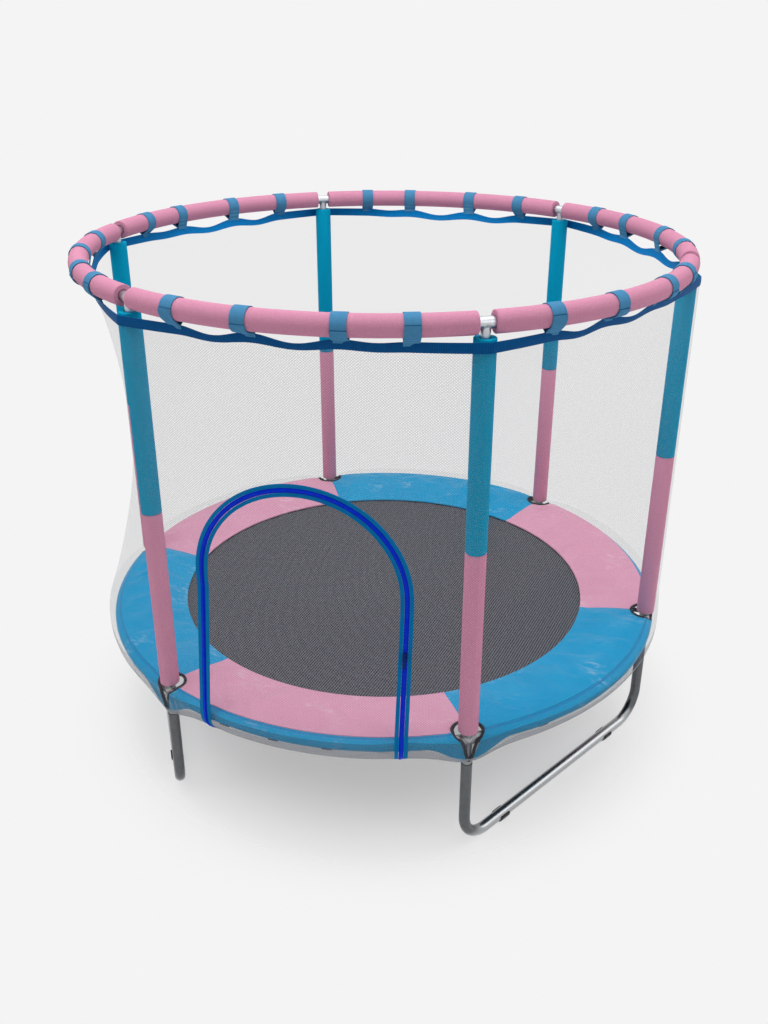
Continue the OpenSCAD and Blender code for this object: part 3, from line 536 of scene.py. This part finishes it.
# enclosure net: round at the pad, flat between the posts above it, a little round at the hem
net = {
    "outR": layout["frameR"] + (layout["foamR"] + 0.00185) / cos(bayTurn / 2),
    "flareLow": layout["padTop"] + 0.010,
    "flareTop": layout["padTop"] + 0.290,
    "tuckZ": layout["padTop"] - 0.018,
    "low": 0.270,
    "cornerDrop": 0.014,
    "cornerReach": 0.060,
    "lowR": 0.690,
    "cornerR": 0.705,
    "hemZ": layout["railZ"] - layout["foamR"] - 0.008,
    "hemH": 0.020,
    "hemSags": (0.0, 0.012, 0.013, 0.004, 0.0),  # none past a post
    "hemRound": 0.46,
    "hemRise": 0.250,  # the net turns round over this height below the hem
    "frontRound": 0.34,
    "straps": (-19.0, -6.3, 8.6, 19.0),  # degrees from the middle of a bay
    "ripple": 0.0016,
    "calm": (0.09, 0.08, 0.10),  # no ripple this near a post, the pad or the hem
    "swell": 0.006,  # a share of the radius, at the pad
    "swellHigh": 0.045,
}
net["flatN"] = net["outR"] * cos(bayTurn / 2)
net["cornerU"] = net["outR"] * sin(bayTurn / 2)
net["roundLow"] = net["hemZ"] - net["hemH"] - net["hemRise"]


def roundness(z, base):
    if z < net["flareLow"]:
        return 1.0
    if z < net["flareTop"]:
        return mix(1.0, base, (z - net["flareLow"]) / (net["flareTop"] - net["flareLow"]))
    if z < net["roundLow"]:
        return base
    return mix(base, net["hemRound"], min(1.0, (z - net["roundLow"]) / net["hemRise"]) ** 2)


def netOut(u, z, base=0.0):
    return net["flatN"] + roundness(z, base) * (sqrt(net["outR"] ** 2 - u * u) - net["flatN"])


def nearPost(u):
    return exp(-((net["cornerU"] - abs(u)) / net["cornerReach"]) ** 2)


def netBottom(u):
    return net["low"] - net["cornerDrop"] * nearPost(u)


# a share of the radius: the net stands off the pad's edge and draws in under the frame
def tuck(bay, u, z):
    proud = net["swell"] * exp(-((z - layout["padTop"]) / net["swellHigh"]) ** 2)
    if bay == 0:
        # the zip's legs run straight past the pad, so that the slider can
        proud *= 1 - exp(-((abs(u) - door["half"]) / net["swellHigh"]) ** 4)
    swell = 1 + proud
    if z >= net["tuckZ"]:
        return swell
    rim = net["lowR"] + (net["cornerR"] - net["lowR"]) * nearPost(u)
    return swell - (1 - rim / net["outR"]) * ((net["tuckZ"] - z) / (net["tuckZ"] - netBottom(u))) ** 2


def netPoint(bay, u, z, out=0.0):
    k = tuck(bay, u, z)
    base = 0.0 if bay else net["frontRound"]
    return inBay(bay, k * u, k * netOut(u, z, base) + out, z)


# slack in the net, none of it at the posts, the pad or the hem
def slack(u, z):
    post, low, high = net["calm"]
    free = 1 - exp(-((net["cornerU"] - abs(u)) / post) ** 2)
    free *= smooth((z - layout["padTop"]) / low) * smooth((net["hemZ"] - z) / high)
    return net["ripple"] * free * noise.noise(Vector((u * 7, z * 2.5, 3.1)))


def hemDip(u):
    a = degrees(atan2(u, netOut(u, net["hemZ"])))
    stops = (net["straps"][-1] - 60, *net["straps"], net["straps"][0] + 60)
    k = max(j for j in range(len(stops) - 1) if a >= stops[j])
    t = (a - stops[k]) / (stops[k + 1] - stops[k])
    return net["hemSags"][k] * (1 - cos(2 * pi * t)) / 2


def netTop(u):
    return net["hemZ"] - net["hemH"] - hemDip(u) / 2


corner = net["cornerU"] - layout["seam"]


def panelPlace(bay):
    def place(u, v):
        across = mix(-corner, corner, u)
        z = mix(netBottom(across), netTop(across), v)
        return netPoint(bay, across, z, slack(across, z)), (across, z)
    return place


for bay in range(1, 6):
    panel = clothGrid(f"net_panel_{bayNames[bay]}", 48, 96, panelPlace(bay), angle=180)
    settle(panel, sideMesh, "frame", "pale_net", f"net_{bayNames[bay]}")

# doorway: an arch of zip in the front bay
door = {
    "half": 0.220,
    "springZ": layout["padTop"] + 0.320,
    "coilHalf": 0.005,
    "tapeW": 0.0082,
    "tapeT": 0.0012,
    "zipLen": 1.53,
    "legPart": 0.3,  # share of the way round that each leg takes
    "shoulder": 0.6,  # height on the seam, as a share, across from the top of a leg
}
door["tapeIn"] = door["coilHalf"] + layout["seam"]
door["tapeOut"] = door["tapeIn"] + door["tapeW"]
door["edge"] = door["tapeOut"] + 2 * layout["seam"]


# a place along the arch, t from 0 at the left foot to 1 at the right one, d outside the zip's centre
def arch(t, d):
    wide = door["half"] + d
    leg = door["legPart"]
    if t < leg:
        return -wide, mix(netBottom(wide), door["springZ"], t / leg)
    if t > 1 - leg:
        return wide, mix(netBottom(wide), door["springZ"], (1 - t) / leg)
    a = pi - (t - leg) / (1 - 2 * leg) * pi
    return wide * cos(a), door["springZ"] + wide * sin(a)


# the panel's outer border: up the left seam, along the hem and down the right seam
def border(t):
    low, high = netBottom(corner), netTop(corner)
    leg, shoulder = door["legPart"], door["shoulder"]
    s = (t - leg) / (1 - 2 * leg)
    if t < leg:
        return -corner, mix(low, high, t / leg * shoulder)
    if t > 1 - leg:
        return corner, mix(low, high, (1 - t) / leg * shoulder)
    if s < 0.25:
        return -corner, mix(low, high, mix(shoulder, 1, s / 0.25))
    if s > 0.75:
        return corner, mix(low, high, mix(shoulder, 1, (1 - s) / 0.25))
    u = mix(-corner, corner, (s - 0.25) / 0.5)
    return u, netTop(u)


def frontPlace(t, s):
    a, b = arch(t, door["tapeOut"]), border(t)
    u = mix(a[0], b[0], s)
    legT = t if t < 0.5 else 1 - t
    z = mix(a[1], b[1], s)
    # the feet stay on the net's lower edge, and the rows start level beside the zip's legs
    level = smooth(1 - legT / door["legPart"])
    z = mix(z, a[1], level) if legT > 0 else netBottom(u)
    free = smooth(s / 0.2)
    return netPoint(0, u, z, slack(u, z) * free), (u, z)


frontNet = clothGrid("net_panel_front", 160, 24, frontPlace, angle=180)
settle(frontNet, netMesh, "frame", "pale_net", "net_front")


def doorPlace(u, v):
    half = door["half"] - door["edge"]
    low = netBottom(half)
    rise = door["springZ"] - low
    # rows climb the legs first and then turn round the arch
    legShare = rise / (rise + half * pi / 2)
    if v < legShare:
        wide, z = half, mix(low, door["springZ"], v / legShare)
    else:
        a = (v - legShare) / (1 - legShare) * radians(89.6)
        wide, z = half * cos(a), door["springZ"] + half * sin(a)
    across = mix(-wide, wide, u)
    if v == 0:
        z = netBottom(across)
    return netPoint(0, across, z, slack(across, z) * 0.8), (across, z)


doorNet = clothGrid("door_flap", 40, 90, doorPlace, angle=180)
settle(doorNet, netMesh, "door", "pale_net", "door_net")

# pad skirt's lower edge, drawn down at each post; d is how far from the post
skirt = {"drop": 0.303, "cornerDrop": 0.045, "reach": 0.100, "thick": 0.0014, "wave": 0.0012,
         "pullIn": 0.0015}


def pullDown(d):
    return (1 + cos(pi * min(1, d / skirt["reach"]))) / 2


# lower edge of the net: turned up and doubled, from under the frame to the top of the skirt
foot = {"high": 0.063, "cut": 0.073, "proud": 0.0005}


def footBand(name, bay, left, right, body):
    def place(u, v):
        across = mix(left, right, u)
        z = netBottom(across) + foot["high"] * v
        skirtEdge = skirt["drop"] - skirt["cornerDrop"] * pullDown(corner - abs(across))
        return netPoint(bay, across, z, foot["proud"]), (across, z - skirtEdge)
    piece = clothGrid(name, max(6, round((right - left) * 80)), 6, place, angle=180)
    settle(piece, shadedNetFold, body, "pale_net")


for bay in range(1, 6):
    footBand(f"net_foot_{bayNames[bay]}", bay, -corner, corner, "frame")
wide = door["half"] + door["tapeOut"]
footBand("net_foot_left", 0, -corner, -wide, "frame")
footBand("net_foot_right", 0, wide, corner, "frame")
wide = door["half"] - door["edge"]
footBand("door_foot", 0, -wide, wide, "door")


# zip: two woven tapes and a coil with a tooth at every step, all along the arch
def tapePiece(name, d0, d1, body, node):
    def place(t, s):
        u, z = arch(t, mix(d0, d1, s))
        return netPoint(0, u, z), (t * door["zipLen"], s * (d1 - d0))
    tape = clothGrid(name, 200, 4, place, door["tapeT"], 40)
    settle(tape, tapeCloth, body, "zip_tape", node)


tapePiece("zip_tape_net", door["tapeIn"], door["tapeOut"], "frame", "zip_net_tape")
tapePiece("zip_tape_door", -door["tapeOut"] - layout["seam"], -door["tapeIn"] - layout["seam"], "door",
          "zip_door_tape")


coil = {"wide": 0.0029, "high": 0.0022, "lift": 0.0013, "steps": 900, "waist": 0.82, "baseT": 0.0014}


def coilPlace(t, s):
    ring = s * 2 * pi
    tooth = 1.0 if round(t * coil["steps"]) % 2 else coil["waist"]
    u, z = arch(t, coil["wide"] * cos(ring) * tooth)
    out = coil["lift"] + coil["high"] * sin(ring) * tooth
    return netPoint(0, u, z, out), (t * door["zipLen"], s * 0.02)


def coilBase(t, s):
    u, z = arch(t, mix(-door["coilHalf"], door["coilHalf"], s))
    return netPoint(0, u, z), (t * door["zipLen"], s * 0.01)


coilRow = closeUp(clothGrid("zip_coil_row", coil["steps"], 8, coilPlace), True)
base = clothGrid("coil_base", 200, 3, coilBase, coil["baseT"])
coilRow = joinAll("zip_coil_row", [coilRow, base])
smoothOver(coilRow, 40)
settle(coilRow, coilNylon, "frame", "zip_coil", "zip_coil")
print("net and doorway made")

# hem band: one wavy strip round all six bays
hem = {"thick": 0.0018, "columns": 60, "curl": 0.0010, "ribRun": 4.4}


# the band leans outwards as the net below it does, most in the middle of a bay
def hemLean(u):
    return net["hemRound"] * 2 / net["hemRise"] * (sqrt(net["outR"] ** 2 - u * u) - net["flatN"])


def hemPlace(u, v):
    spot = u * 6
    bay = min(5, int(spot))
    across = mix(-net["cornerU"], net["cornerU"], spot - bay)
    curl = hem["curl"] * sin(v * pi)  # the band is a little rounded across its height
    z = mix(netTop(across), net["hemZ"] - hemDip(across), v)
    out = netOut(across, net["hemZ"]) + hemLean(across) * v * net["hemH"] + curl
    return inBay(bay, across, out, z), (u * hem["ribRun"], v * net["hemH"])


hemBand = clothGrid("net_hem_band", 6 * hem["columns"], 4, hemPlace, hem["thick"], 40, rolled=True)
settle(hemBand, hemCloth, "frame", "navy_hem", "net_hem")
hemBand.data.materials.append(hemLitFace)  # painted light: the faces towards the axis get a lighter copy of the tape's blue
for face in hemBand.data.polygons:
    if face.normal.dot(Vector((face.center.x, face.center.y, 0))) < 0:
        face.material_index = 1

# strap loops: webbing over the rail foam, both ends sewn to the hem, with a lapped end outside
strap = {
    "wide": 0.030,
    "thick": 0.0014,
    "off": 0.0008,  # clear of the foam
    "lap": 0.0016,
    "lapOver": 0.0008,
    "sewn": 0.0003,  # both ends are sewn into the hem
    "outerEnd": (-0.0026, -0.0075),
    "innerEnd": (-0.002, -0.005),
    "steps": 28,
}


def strapPath(angle):
    rail = layout["frameR"]
    u = rail * sin(radians(angle))
    top = netOut(u, net["hemZ"]) + hemLean(u) * net["hemH"]
    reach = top / cos(radians(angle)) - rail  # the hem's top edge, seen from the rail
    r = layout["foamR"] + strap["off"] + strap["thick"] / 2
    hang = net["hemZ"] - layout["railZ"]
    outer = Vector((reach + 5 * strap["sewn"], hang))
    inner = Vector((reach - strap["sewn"], hang))
    turns = []
    for spot, side in ((outer, 1), (inner, -1)):
        away = atan2(spot.y, spot.x)
        turns.append(away + side * acos(min(1.0, r / spot.length)))
    pts = [outer + Vector(strap["outerEnd"]), outer]
    for k in range(strap["steps"] + 1):
        a = mix(turns[0], turns[1] + 2 * pi, k / strap["steps"])
        pts.append(Vector((r * cos(a), r * sin(a))))
    return [*pts, inner, inner + Vector(strap["innerEnd"])]


def strapStrip(name, angle, pts, lift, wide):
    def place(u, v):
        k = round(v * (len(pts) - 1))
        before, after = pts[max(0, k - 1)], pts[min(len(pts) - 1, k + 1)]
        along = (after - before).normalized()
        spot = pts[k] + lift * Vector((along.y, -along.x))
        n, z = layout["frameR"] + spot.x, layout["railZ"] + spot.y
        side = mix(-wide / 2, wide / 2, u)
        c, s = cos(radians(angle)), sin(radians(angle))
        return Vector((n * s + side * c, -n * c + side * s, z)), (k * 0.005, u * wide)
    return clothGrid(name, 4, len(pts) - 1, place, strap["thick"])


baySet = []
for angle in net["straps"]:
    path = strapPath(angle)
    loop = strapStrip("strap", angle, path, 0.0, strap["wide"])
    # the lapped end covers the lower half of the outer side, and its edge shows as a seam
    lap = strapStrip("strap_lap", angle, path[1:9], strap["lap"], strap["wide"] + strap["lapOver"])
    baySet.extend([loop, lap])
strapBay = joinAll("strap_bay", baySet)
smoothOver(strapBay, 40)
sets = [turnedCopy(strapBay, f"strap_set_{bay}", bay * bayTurn) for bay in range(6)]
bpy.data.objects.remove(strapBay)
straps = joinAll("strap_loops_all", sets)
settle(straps, strapWeb, "frame", "blue_webbing", "strap_loops")
print("hem and straps made")

# jumping mat: a taut disc with a doubled edge and webbing tabs for the steel loops
mat = {
    "r": 0.556,
    "thick": 0.002,
    "bands": 36,
    "columns": 6 * 36,  # six to a band
    "ridge": 0.0007,
    "edgeW": 0.030,
    "edgeT": 0.005,
    "edgeRound": 0.0015,
    "tabW": 0.022,
    "tabT": 0.0014,
    "tabSewn": 0.008,  # length that lies on the edge
    "barR": 0.568,
    "barHalf": 0.0036,
}


def matPlace(u, v):
    a = u * 2 * pi
    r = v * (mat["r"] - mat["edgeW"] / 2)
    pull = mat["ridge"] * cos(mat["bands"] * a) * smooth((v - 0.7) / 0.3)  # towards the bands
    x, y = r * cos(a), r * sin(a)
    return Vector((x, y, layout["frameZ"] + pull)), (x, y)


matDisc = clothGrid("mat_cloth", mat["columns"], 30, matPlace, mat["thick"], 40, rolled=True)
settle(matDisc, matCloth, "mat", "grey_mat", "mat")


def edgePlace(u, v):
    a = u * 2 * pi
    r = mix(mat["r"] - mat["edgeW"], mat["r"], v)
    return Vector((r * cos(a), r * sin(a), layout["frameZ"])), (a * 0.55, v * mat["edgeW"])


edge = clothGrid("mat_edge", mat["columns"], 3, edgePlace, mat["edgeT"], rolled=True)
softenEdges(edge, mat["edgeRound"], 2, 60)


def tabPlace(u, v):
    half = mat["barHalf"]
    start = mat["r"] - mat["tabSewn"]
    reach = mat["barR"] - start
    straight = reach / (2 * reach + pi * half)
    if v < straight:
        x, z = mix(start, mat["barR"], v / straight), half
    elif v > 1 - straight:
        x, z = mix(start, mat["barR"], (1 - v) / straight), -half
    else:
        a = pi / 2 - (v - straight) / (1 - 2 * straight) * pi
        x, z = mat["barR"] + half * cos(a), half * sin(a)
    side = mix(-mat["tabW"] / 2, mat["tabW"] / 2, u)
    return Vector((x, side, layout["frameZ"] + z)), (side, v * 0.06)


tab = clothGrid("mat_tab", 2, 30, tabPlace, mat["tabT"])
bandTurns = [radians(k * 10 - 85) for k in range(mat["bands"])]
tabs = [turnedCopy(tab, f"tab_{k}", turn) for k, turn in enumerate(bandTurns)]
bpy.data.objects.remove(tab)
edge = joinAll("mat_edge", [edge, *tabs])
smoothOver(edge, 40)
settle(edge, bandElastic, "mat", "black_elastic")

# elastic bands: belts round the ring tube and the loop's outer bar
band = {"wide": 0.020, "thick": 0.0016, "ringR": 0.0138, "barR": 0.00414, "barAt": 0.586,
        "ringKeep": 0.016, "barKeep": 0.006,  # lengths that stay with the ring and with the bar
        "bend": 20, "run": 10}  # steps round each end and along each side
bandSteps = 2 * (band["bend"] + band["run"])


def bandPlace(u, v):
    lean = asin((band["ringR"] - band["barR"]) / (layout["frameR"] - band["barAt"]))
    opening = pi / 2 + lean

    def on(centre, r, a):
        return Vector((centre + r * cos(a), r * sin(a)))

    ring, bar = (layout["frameR"], band["ringR"]), (band["barAt"], band["barR"])
    bend, run = band["bend"], band["run"]
    k = (v * bandSteps) % bandSteps
    if k <= bend:
        spot = on(*ring, mix(-opening, opening, k / bend))
    elif k < bend + run:
        spot = mix(on(*ring, opening), on(*bar, opening), (k - bend) / run)
    elif k <= 2 * bend + run:
        spot = on(*bar, mix(opening, 2 * pi - opening, (k - bend - run) / bend))
    else:
        spot = mix(on(*bar, -opening), on(*ring, -opening), (k - 2 * bend - run) / run)
    side = mix(-band["wide"] / 2, band["wide"] / 2, u)
    return Vector((spot.x, side, layout["frameZ"] + spot.y)), (v * 0.27, side)


belt = clothGrid("band", 2, bandSteps, bandPlace, band["thick"], 40, rolled=True)
for k, turn in enumerate(bandTurns):
    piece = turnedCopy(belt, f"elastic_band_{k + 1}", turn)
    settle(piece, bandElastic, None, "black_elastic", *(["elastic_bands"] if k == 0 else []))
    low = Vector((0, 0, layout["frameZ"]))
    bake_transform(piece)
bpy.data.objects.remove(belt)
print("mat and bands made")

# frame pad: six padded sections, rolled at the inner edge, with a round bite at each post
pad = {
    "inR": 0.525,
    "roll": 0.0030,
    "inZ": 0.3095,
    "crown": 0.0045,
    "puff": 0.0010,
    "endDip": 0.0030,
    "seamW": 0.012,
    "slack": 0.014,  # how much larger the top is cut than its seams
    "sewnShare": 0.05,  # of the top's width, held at each edge
    "topDeep": 0.006,
    "rows": (28, 3, 12, 10),  # on the top, the outer face, the underside and the rolled edge
    "steps": 20,
}
topRows, faceRows, underRows, rollRows = pad["rows"]


def padRise(t):
    return mix(pad["inZ"] + pad["roll"], layout["padTop"], t) + pad["crown"] * 4 * t * (1 - t)


padRows = []
for k in range(topRows + 1):  # the top, from the rolled inner edge out to the skirt's seam
    t = k / topRows
    padRows.append((mix(pad["inR"] + pad["roll"], layout["padOutR"], t), padRise(t), t))
for k in range(1, faceRows + 1):  # the outer face
    padRows.append((layout["padOutR"], mix(layout["padTop"], layout["padLow"], k / faceRows), 1.0))
for k in range(1, underRows):  # the underside, which rests on the bands and on the mat's edge
    t = 1 - k / underRows
    padRows.append((mix(pad["inR"] + pad["roll"], layout["padOutR"], t),
                    mix(pad["inZ"] - pad["roll"], layout["padLow"], smooth(t / 0.8)), t))
for k in range(rollRows + 1):  # the rolled inner edge
    a = radians(270 - 180 * k / rollRows)
    padRows.append((pad["inR"] + pad["roll"] * (1 + cos(a)),
                    pad["inZ"] + pad["roll"] * sin(a), 0.0))
padRows.append(padRows[0])


# the turn that a post's hole takes from the end of a section, at a radius
def holeTurn(r):
    gap = abs(r - layout["frameR"])
    return sqrt(layout["holeR"] ** 2 - gap * gap) / r if gap < layout["holeR"] else 0.0


def padPlace(u, v):
    k = round(v * (len(padRows) - 1))
    r, z, t = padRows[k]
    end = bayTurn / 2 - layout["seam"] / 2 / pad["inR"] - holeTurn(r)
    a = mix(-end, end, u)
    fromEnd = (end - abs(a)) * r
    if k <= topRows:
        # the top dips to its end seams and carries soft creases
        z -= pad["endDip"] * exp(-fromEnd / pad["seamW"]) * smooth(t / 0.12)
        spot = Vector((a * 9, t * 2.2, 0.7))
        z += pad["puff"] * noise.noise(spot * 2.0) * smooth(fromEnd / 0.05) * sin(pi * t)
    return Vector((r * sin(a), -r * cos(a), z)), (a * 0.6, v)


padPiece = closeUp(clothGrid("pad", 72, len(padRows) - 1, padPlace), True)


def looseTop(place):  # the top's cloth, away from its seams
    r = hypot(place.x, place.y)
    t = (r - pad["inR"] - pad["roll"]) / (layout["padOutR"] - pad["inR"] - pad["roll"])
    fromEnd = (bayTurn / 2 - holeTurn(r) - abs(atan2(place.x, -place.y))) * r
    inside = pad["sewnShare"] < t < 1 - pad["sewnShare"]
    return inside and fromEnd > pad["seamW"] and place.z > padRise(t) - pad["topDeep"]


# cloth: the top is cut a little larger than its seams and settles into soft creases
sewnEdge = padPiece.vertex_groups.new(name="sewn")
sewnEdge.add([v.index for v in padPiece.data.vertices if not looseTop(v.co)], 1.0, "ADD")
cover = padPiece.modifiers.new("cover", "CLOTH")
cover.settings.vertex_group_mass = "sewn"
cover.settings.quality = 8
cover.settings.mass = 0.3
cover.settings.tension_stiffness = 20
cover.settings.compression_stiffness = 20
cover.settings.bending_stiffness = 1.0
cover.settings.shrink_min = -pad["slack"]
cover.settings.use_pressure = True
cover.settings.uniform_pressure_force = 0.6
cover.settings.effector_weights.gravity = 0
for step in range(1, pad["steps"] + 1):
    bpy.context.scene.frame_set(step)
pick(padPiece)
bpy.ops.object.modifier_apply(modifier="cover")
bpy.context.scene.frame_set(1)
print("pad cover settled, top at", round(max(v.co.z for v in padPiece.data.vertices), 4))
smoothOver(padPiece, 50)
for bay, name in enumerate(bayNames):
    piece = turnedCopy(padPiece, f"pad_section_{name}", bay * bayTurn)
    pinkOne = bay % 2 == 0
    settle(piece, pinkCover if pinkOne else blueCover, "frame", "pink_cover" if pinkOne else "blue_cover",
           f"pad_{name}")
bpy.data.objects.remove(padPiece)

# pad skirt: cloth from the pad's edge over the frame and down, drawn down at each post
# radius, height, half the opening at a post, and the share of the pull down that a row takes
padTop, outR, skirtR, holeR = (layout[key] for key in ("padTop", "padOutR", "skirtR", "holeR"))
skirtRows = [
    (outR - 0.0006, padTop - 0.0022, holeR, 0),
    ((outR + skirtR) / 2, padTop - 0.0075, holeR - 0.003, 0),
    (skirtR - 0.0025, padTop - 0.0125, holeR - 0.009, 0),
    (skirtR, padTop - 0.0175, holeR - 0.015, 0),
    (skirtR, layout["frameZ"] + 0.002, holeR - 0.022, 0.4),
    (skirtR - 0.002, skirt["drop"], 0.008, 1),
]


def alongRows(v):
    spot = v * (len(skirtRows) - 1)
    k = min(len(skirtRows) - 2, int(spot))
    return [mix(a, b, spot - k) for a, b in zip(skirtRows[k], skirtRows[k + 1])]


def skirtPlace(u, v):
    r, z, opening, share = alongRows(v)
    half = r * bayTurn / 2
    across = mix(-half + opening, half - opening, u)
    pull = pullDown(half - abs(across))
    z -= skirt["cornerDrop"] * pull * share
    wave = skirt["wave"] * noise.noise(Vector((across * 24, v * 1.5, 5.0))) * smooth((v - 0.4) / 0.5)
    r += wave - skirt["pullIn"] * pull * share - skirt["thick"] / 2
    a = across / r
    return Vector((r * sin(a), -r * cos(a), z)), (across, v * 0.06)


skirtPiece = clothGrid("skirt", 110, 30, lambda u, v: skirtPlace(u, 1 - v), skirt["thick"], 60)
for bay in range(6):
    piece = turnedCopy(skirtPiece, f"skirt_{bayNames[bay]}", bay * bayTurn)
    settle(piece, skirtCover, "frame", "blue_cover", *(["pad_skirt"] if bay == 0 else []))
bpy.data.objects.remove(skirtPiece)

# hole bindings: a doubled tape sewn round the post's hole and down both sides of the skirt's slit
binding = {"r": 0.0036, "wave": 0.0016}


def bindingPath():
    inset = binding["r"] + layout["seam"]
    # from each row of the skirt, the way to its inside: down at the pad, inwards at the frame
    tilt = ((0, 1), (0.5, 0.87), (0.87, 0.5), (1, 0), (1, 0), (1, 0))
    side = []
    for k in range(5, -1, -1):
        r, z, opening = skirtRows[k][:3]
        drop = skirt["cornerDrop"] - binding["r"] if k == 5 else 0.012 if k == 4 else 0
        side.append(Vector((r - layout["frameR"] - binding["r"] * tilt[k][0], opening - inset,
                            z - drop - binding["r"] * tilt[k][1])))
    ring = layout["holeR"] - inset
    head = []
    for k in range(17):
        a = pi / 2 + pi * k / 16
        head.append(Vector((ring * cos(a), ring * sin(a), layout["padTop"] - 0.0045)))
    back = [Vector((p.x, -p.y, p.z)) for p in reversed(side)]
    return side + head + back


loopPts = bindingPath()


def bindingPlace(u, v):
    count = len(loopPts)
    spot = (u % 1.0) * count
    k = int(spot)
    p = [loopPts[(k + j) % count] for j in (-1, 0, 1, 2)]
    t = spot - k
    # a smooth curve through the points, and its direction
    slope, bend = p[2] - p[0], 2 * p[0] - 5 * p[1] + 4 * p[2] - p[3]
    twist = 3 * p[1] - p[0] - 3 * p[2] + p[3]
    here = 0.5 * (2 * p[1] + slope * t + bend * t * t + twist * t ** 3)
    ahead = (slope + 2 * bend * t + 3 * twist * t * t).normalized()
    up = Vector((1, 0, 1))
    up = (up - up.dot(ahead) * ahead).normalized()
    across = ahead.cross(up)
    a = v * 2 * pi
    here += binding["wave"] * noise.noise(here * 70) * across
    where = here + binding["r"] * (cos(a) * up + sin(a) * across)
    where.x += layout["frameR"]
    return where, (u * 0.36, v * 0.02)


trim = clothGrid("binding", 180, 10, bindingPlace, angle=80, rolled=True)
for post in range(1, 7):
    piece = turnedCopy(trim, f"hole_binding_{post}", postTurn(post))
    settle(piece, bindingCloth, "frame", "grey_binding", *(["hole_bindings"] if post == 1 else []))
bpy.data.objects.remove(trim)
print("pad made")


# rays that show the backdrop: the camera's, and those through glass or off metal
def seenRay(tree):
    ray = addNode(tree, "LightPath")
    direct = addNode(tree, "Math", {"operation": "MAXIMUM"},
                     {0: (ray, "Is Camera Ray"), 1: (ray, "Is Transmission Ray")})
    return addNode(tree, "Math", {"operation": "MAXIMUM"},
                   {0: (direct, "Value"), 1: (ray, "Is Glossy Ray")})


# floor: pale and plain; part of what the camera sees of it is the backdrop's own grey, so that the
# shadow stays as light as in the studio, and it fades into the backdrop away from the object
studio = {"grey": "#F4F4F4", "fadeFrom": 0.42, "fadeTo": 0.94, "paper": 0.43, "ambient": 0.34,
          "topPower": 140, "keyPower": 55, "sidePower": 20, "rimPower": 28}
clearSelection()
bpy.ops.mesh.primitive_circle_add(vertices=96, radius=4, fill_type="NGON")
floor = bpy.context.object
floor.name = "floor"
paper, tree, body, at = newSurface("paper_floor", roughness=0.95, specular_ior_level=0.0,
                                   base_color=linear(studio["grey"]))
away = addNode(tree, "VectorMath", {"operation": "LENGTH"}, {0: at["Object"]["Vector"]})
fade = addNode(tree, "MapRange", {"interpolation_type": "SMOOTHSTEP", "From Min": studio["fadeFrom"],
               "From Max": studio["fadeTo"]}, {"Value": (away, "Value")})
seen = seenRay(tree)
share = addNode(tree, "Math", {"operation": "MULTIPLY", 1: studio["paper"]}, {0: (seen, "Value")})
glow = addNode(tree, "Emission", {"Color": linear(studio["grey"]), "Strength": 1.0})
lit = addNode(tree, "MixShader", {}, {0: (share, "Value"), 1: (body, "BSDF"), 2: (glow, "Emission")})
clear = addNode(tree, "BsdfTransparent")
near = addNode(tree, "Math", {"operation": "MULTIPLY"}, {0: (fade, "Result"), 1: (seen, "Value")})
faded = addNode(tree, "MixShader", {}, {0: (near, "Value"), 1: (lit, "Shader"), 2: (clear, "BSDF")})
tree.links.new(faded.outputs["Shader"], tree.nodes["Material Output"].inputs["Surface"])
floor.data.materials.append(paper)

# world: a soft dome, brightest above and behind the object and dim on the camera's side
world = bpy.data.worlds.new("studio")
bpy.context.scene.world = world
world.use_nodes = True
tree = world.node_tree
tree.nodes.clear()
seen = seenRay(tree)
backdrop = addNode(tree, "Background", {"Color": linear(studio["grey"]), "Strength": 1.0})
sky = addNode(tree, "TexCoord")
facing = addNode(tree, "VectorMath", {"operation": "DOT_PRODUCT", 1: (-0.20, 0.55, 0.81)},
                 {0: (sky, "Generated")})
level = addNode(tree, "MapRange", {"From Min": -0.8, "From Max": 1.0, "To Min": 0.6 * studio["ambient"],
                "To Max": 1.15 * studio["ambient"]}, {"Value": (facing, "Value")})
dome = addNode(tree, "Background", {"Color": (1, 1, 1, 1)}, {"Strength": (level, "Result")})
either = addNode(tree, "MixShader", {}, {0: (seen, "Value"), 1: (dome, "Background"),
                 2: (backdrop, "Background")})
addNode(tree, "OutputWorld", {}, {"Surface": (either, "Shader")})


def softBox(name, power, size, place, aim):
    clearSelection()
    bpy.ops.object.light_add(type="AREA", location=place)
    lamp = bpy.context.object
    lamp.name = name
    lamp.data.shape = "SQUARE"
    lamp.data.size = size
    lamp.data.energy = power
    lamp.rotation_euler = (Vector(aim) - Vector(place)).to_track_quat("-Z", "Y").to_euler()
    return lamp


softBox("top_light", studio["topPower"], 6.2, (-0.2, -0.3, 4.8), (0, 0, 0.3))
softBox("key_light", studio["keyPower"], 1.2, (-0.5, -0.5, 4.7), (0, 0, 0.3))
softBox("left_light", studio["sidePower"], 1.8, (-2.8, -2.6, 2.6), (0, 0, 0.6))
softBox("right_light", studio["sidePower"] * 0.7, 1.8, (3.2, -2.0, 2.4), (0, 0, 0.6))
softBox("rim_light", studio["rimPower"], 2.4, (3.5, 1.1, 2.3), (0.3, -0.2, 0.3))

# camera at the photograph's place, found from the posts, the rail and the pad
view = {"place": (0.6289, -2.3470, 1.6942), "tip": 64.213, "turn": 15.0, "lens": 36.115}
clearSelection()
bpy.ops.object.camera_add(location=view["place"],
                          rotation=(radians(view["tip"]), 0, radians(view["turn"])))
camera = bpy.context.object
camera.data.lens = view["lens"]
camera.data.sensor_width = 36
bpy.context.scene.camera = camera
bpy.context.scene.view_settings.view_transform = "Standard"
print("stage set")
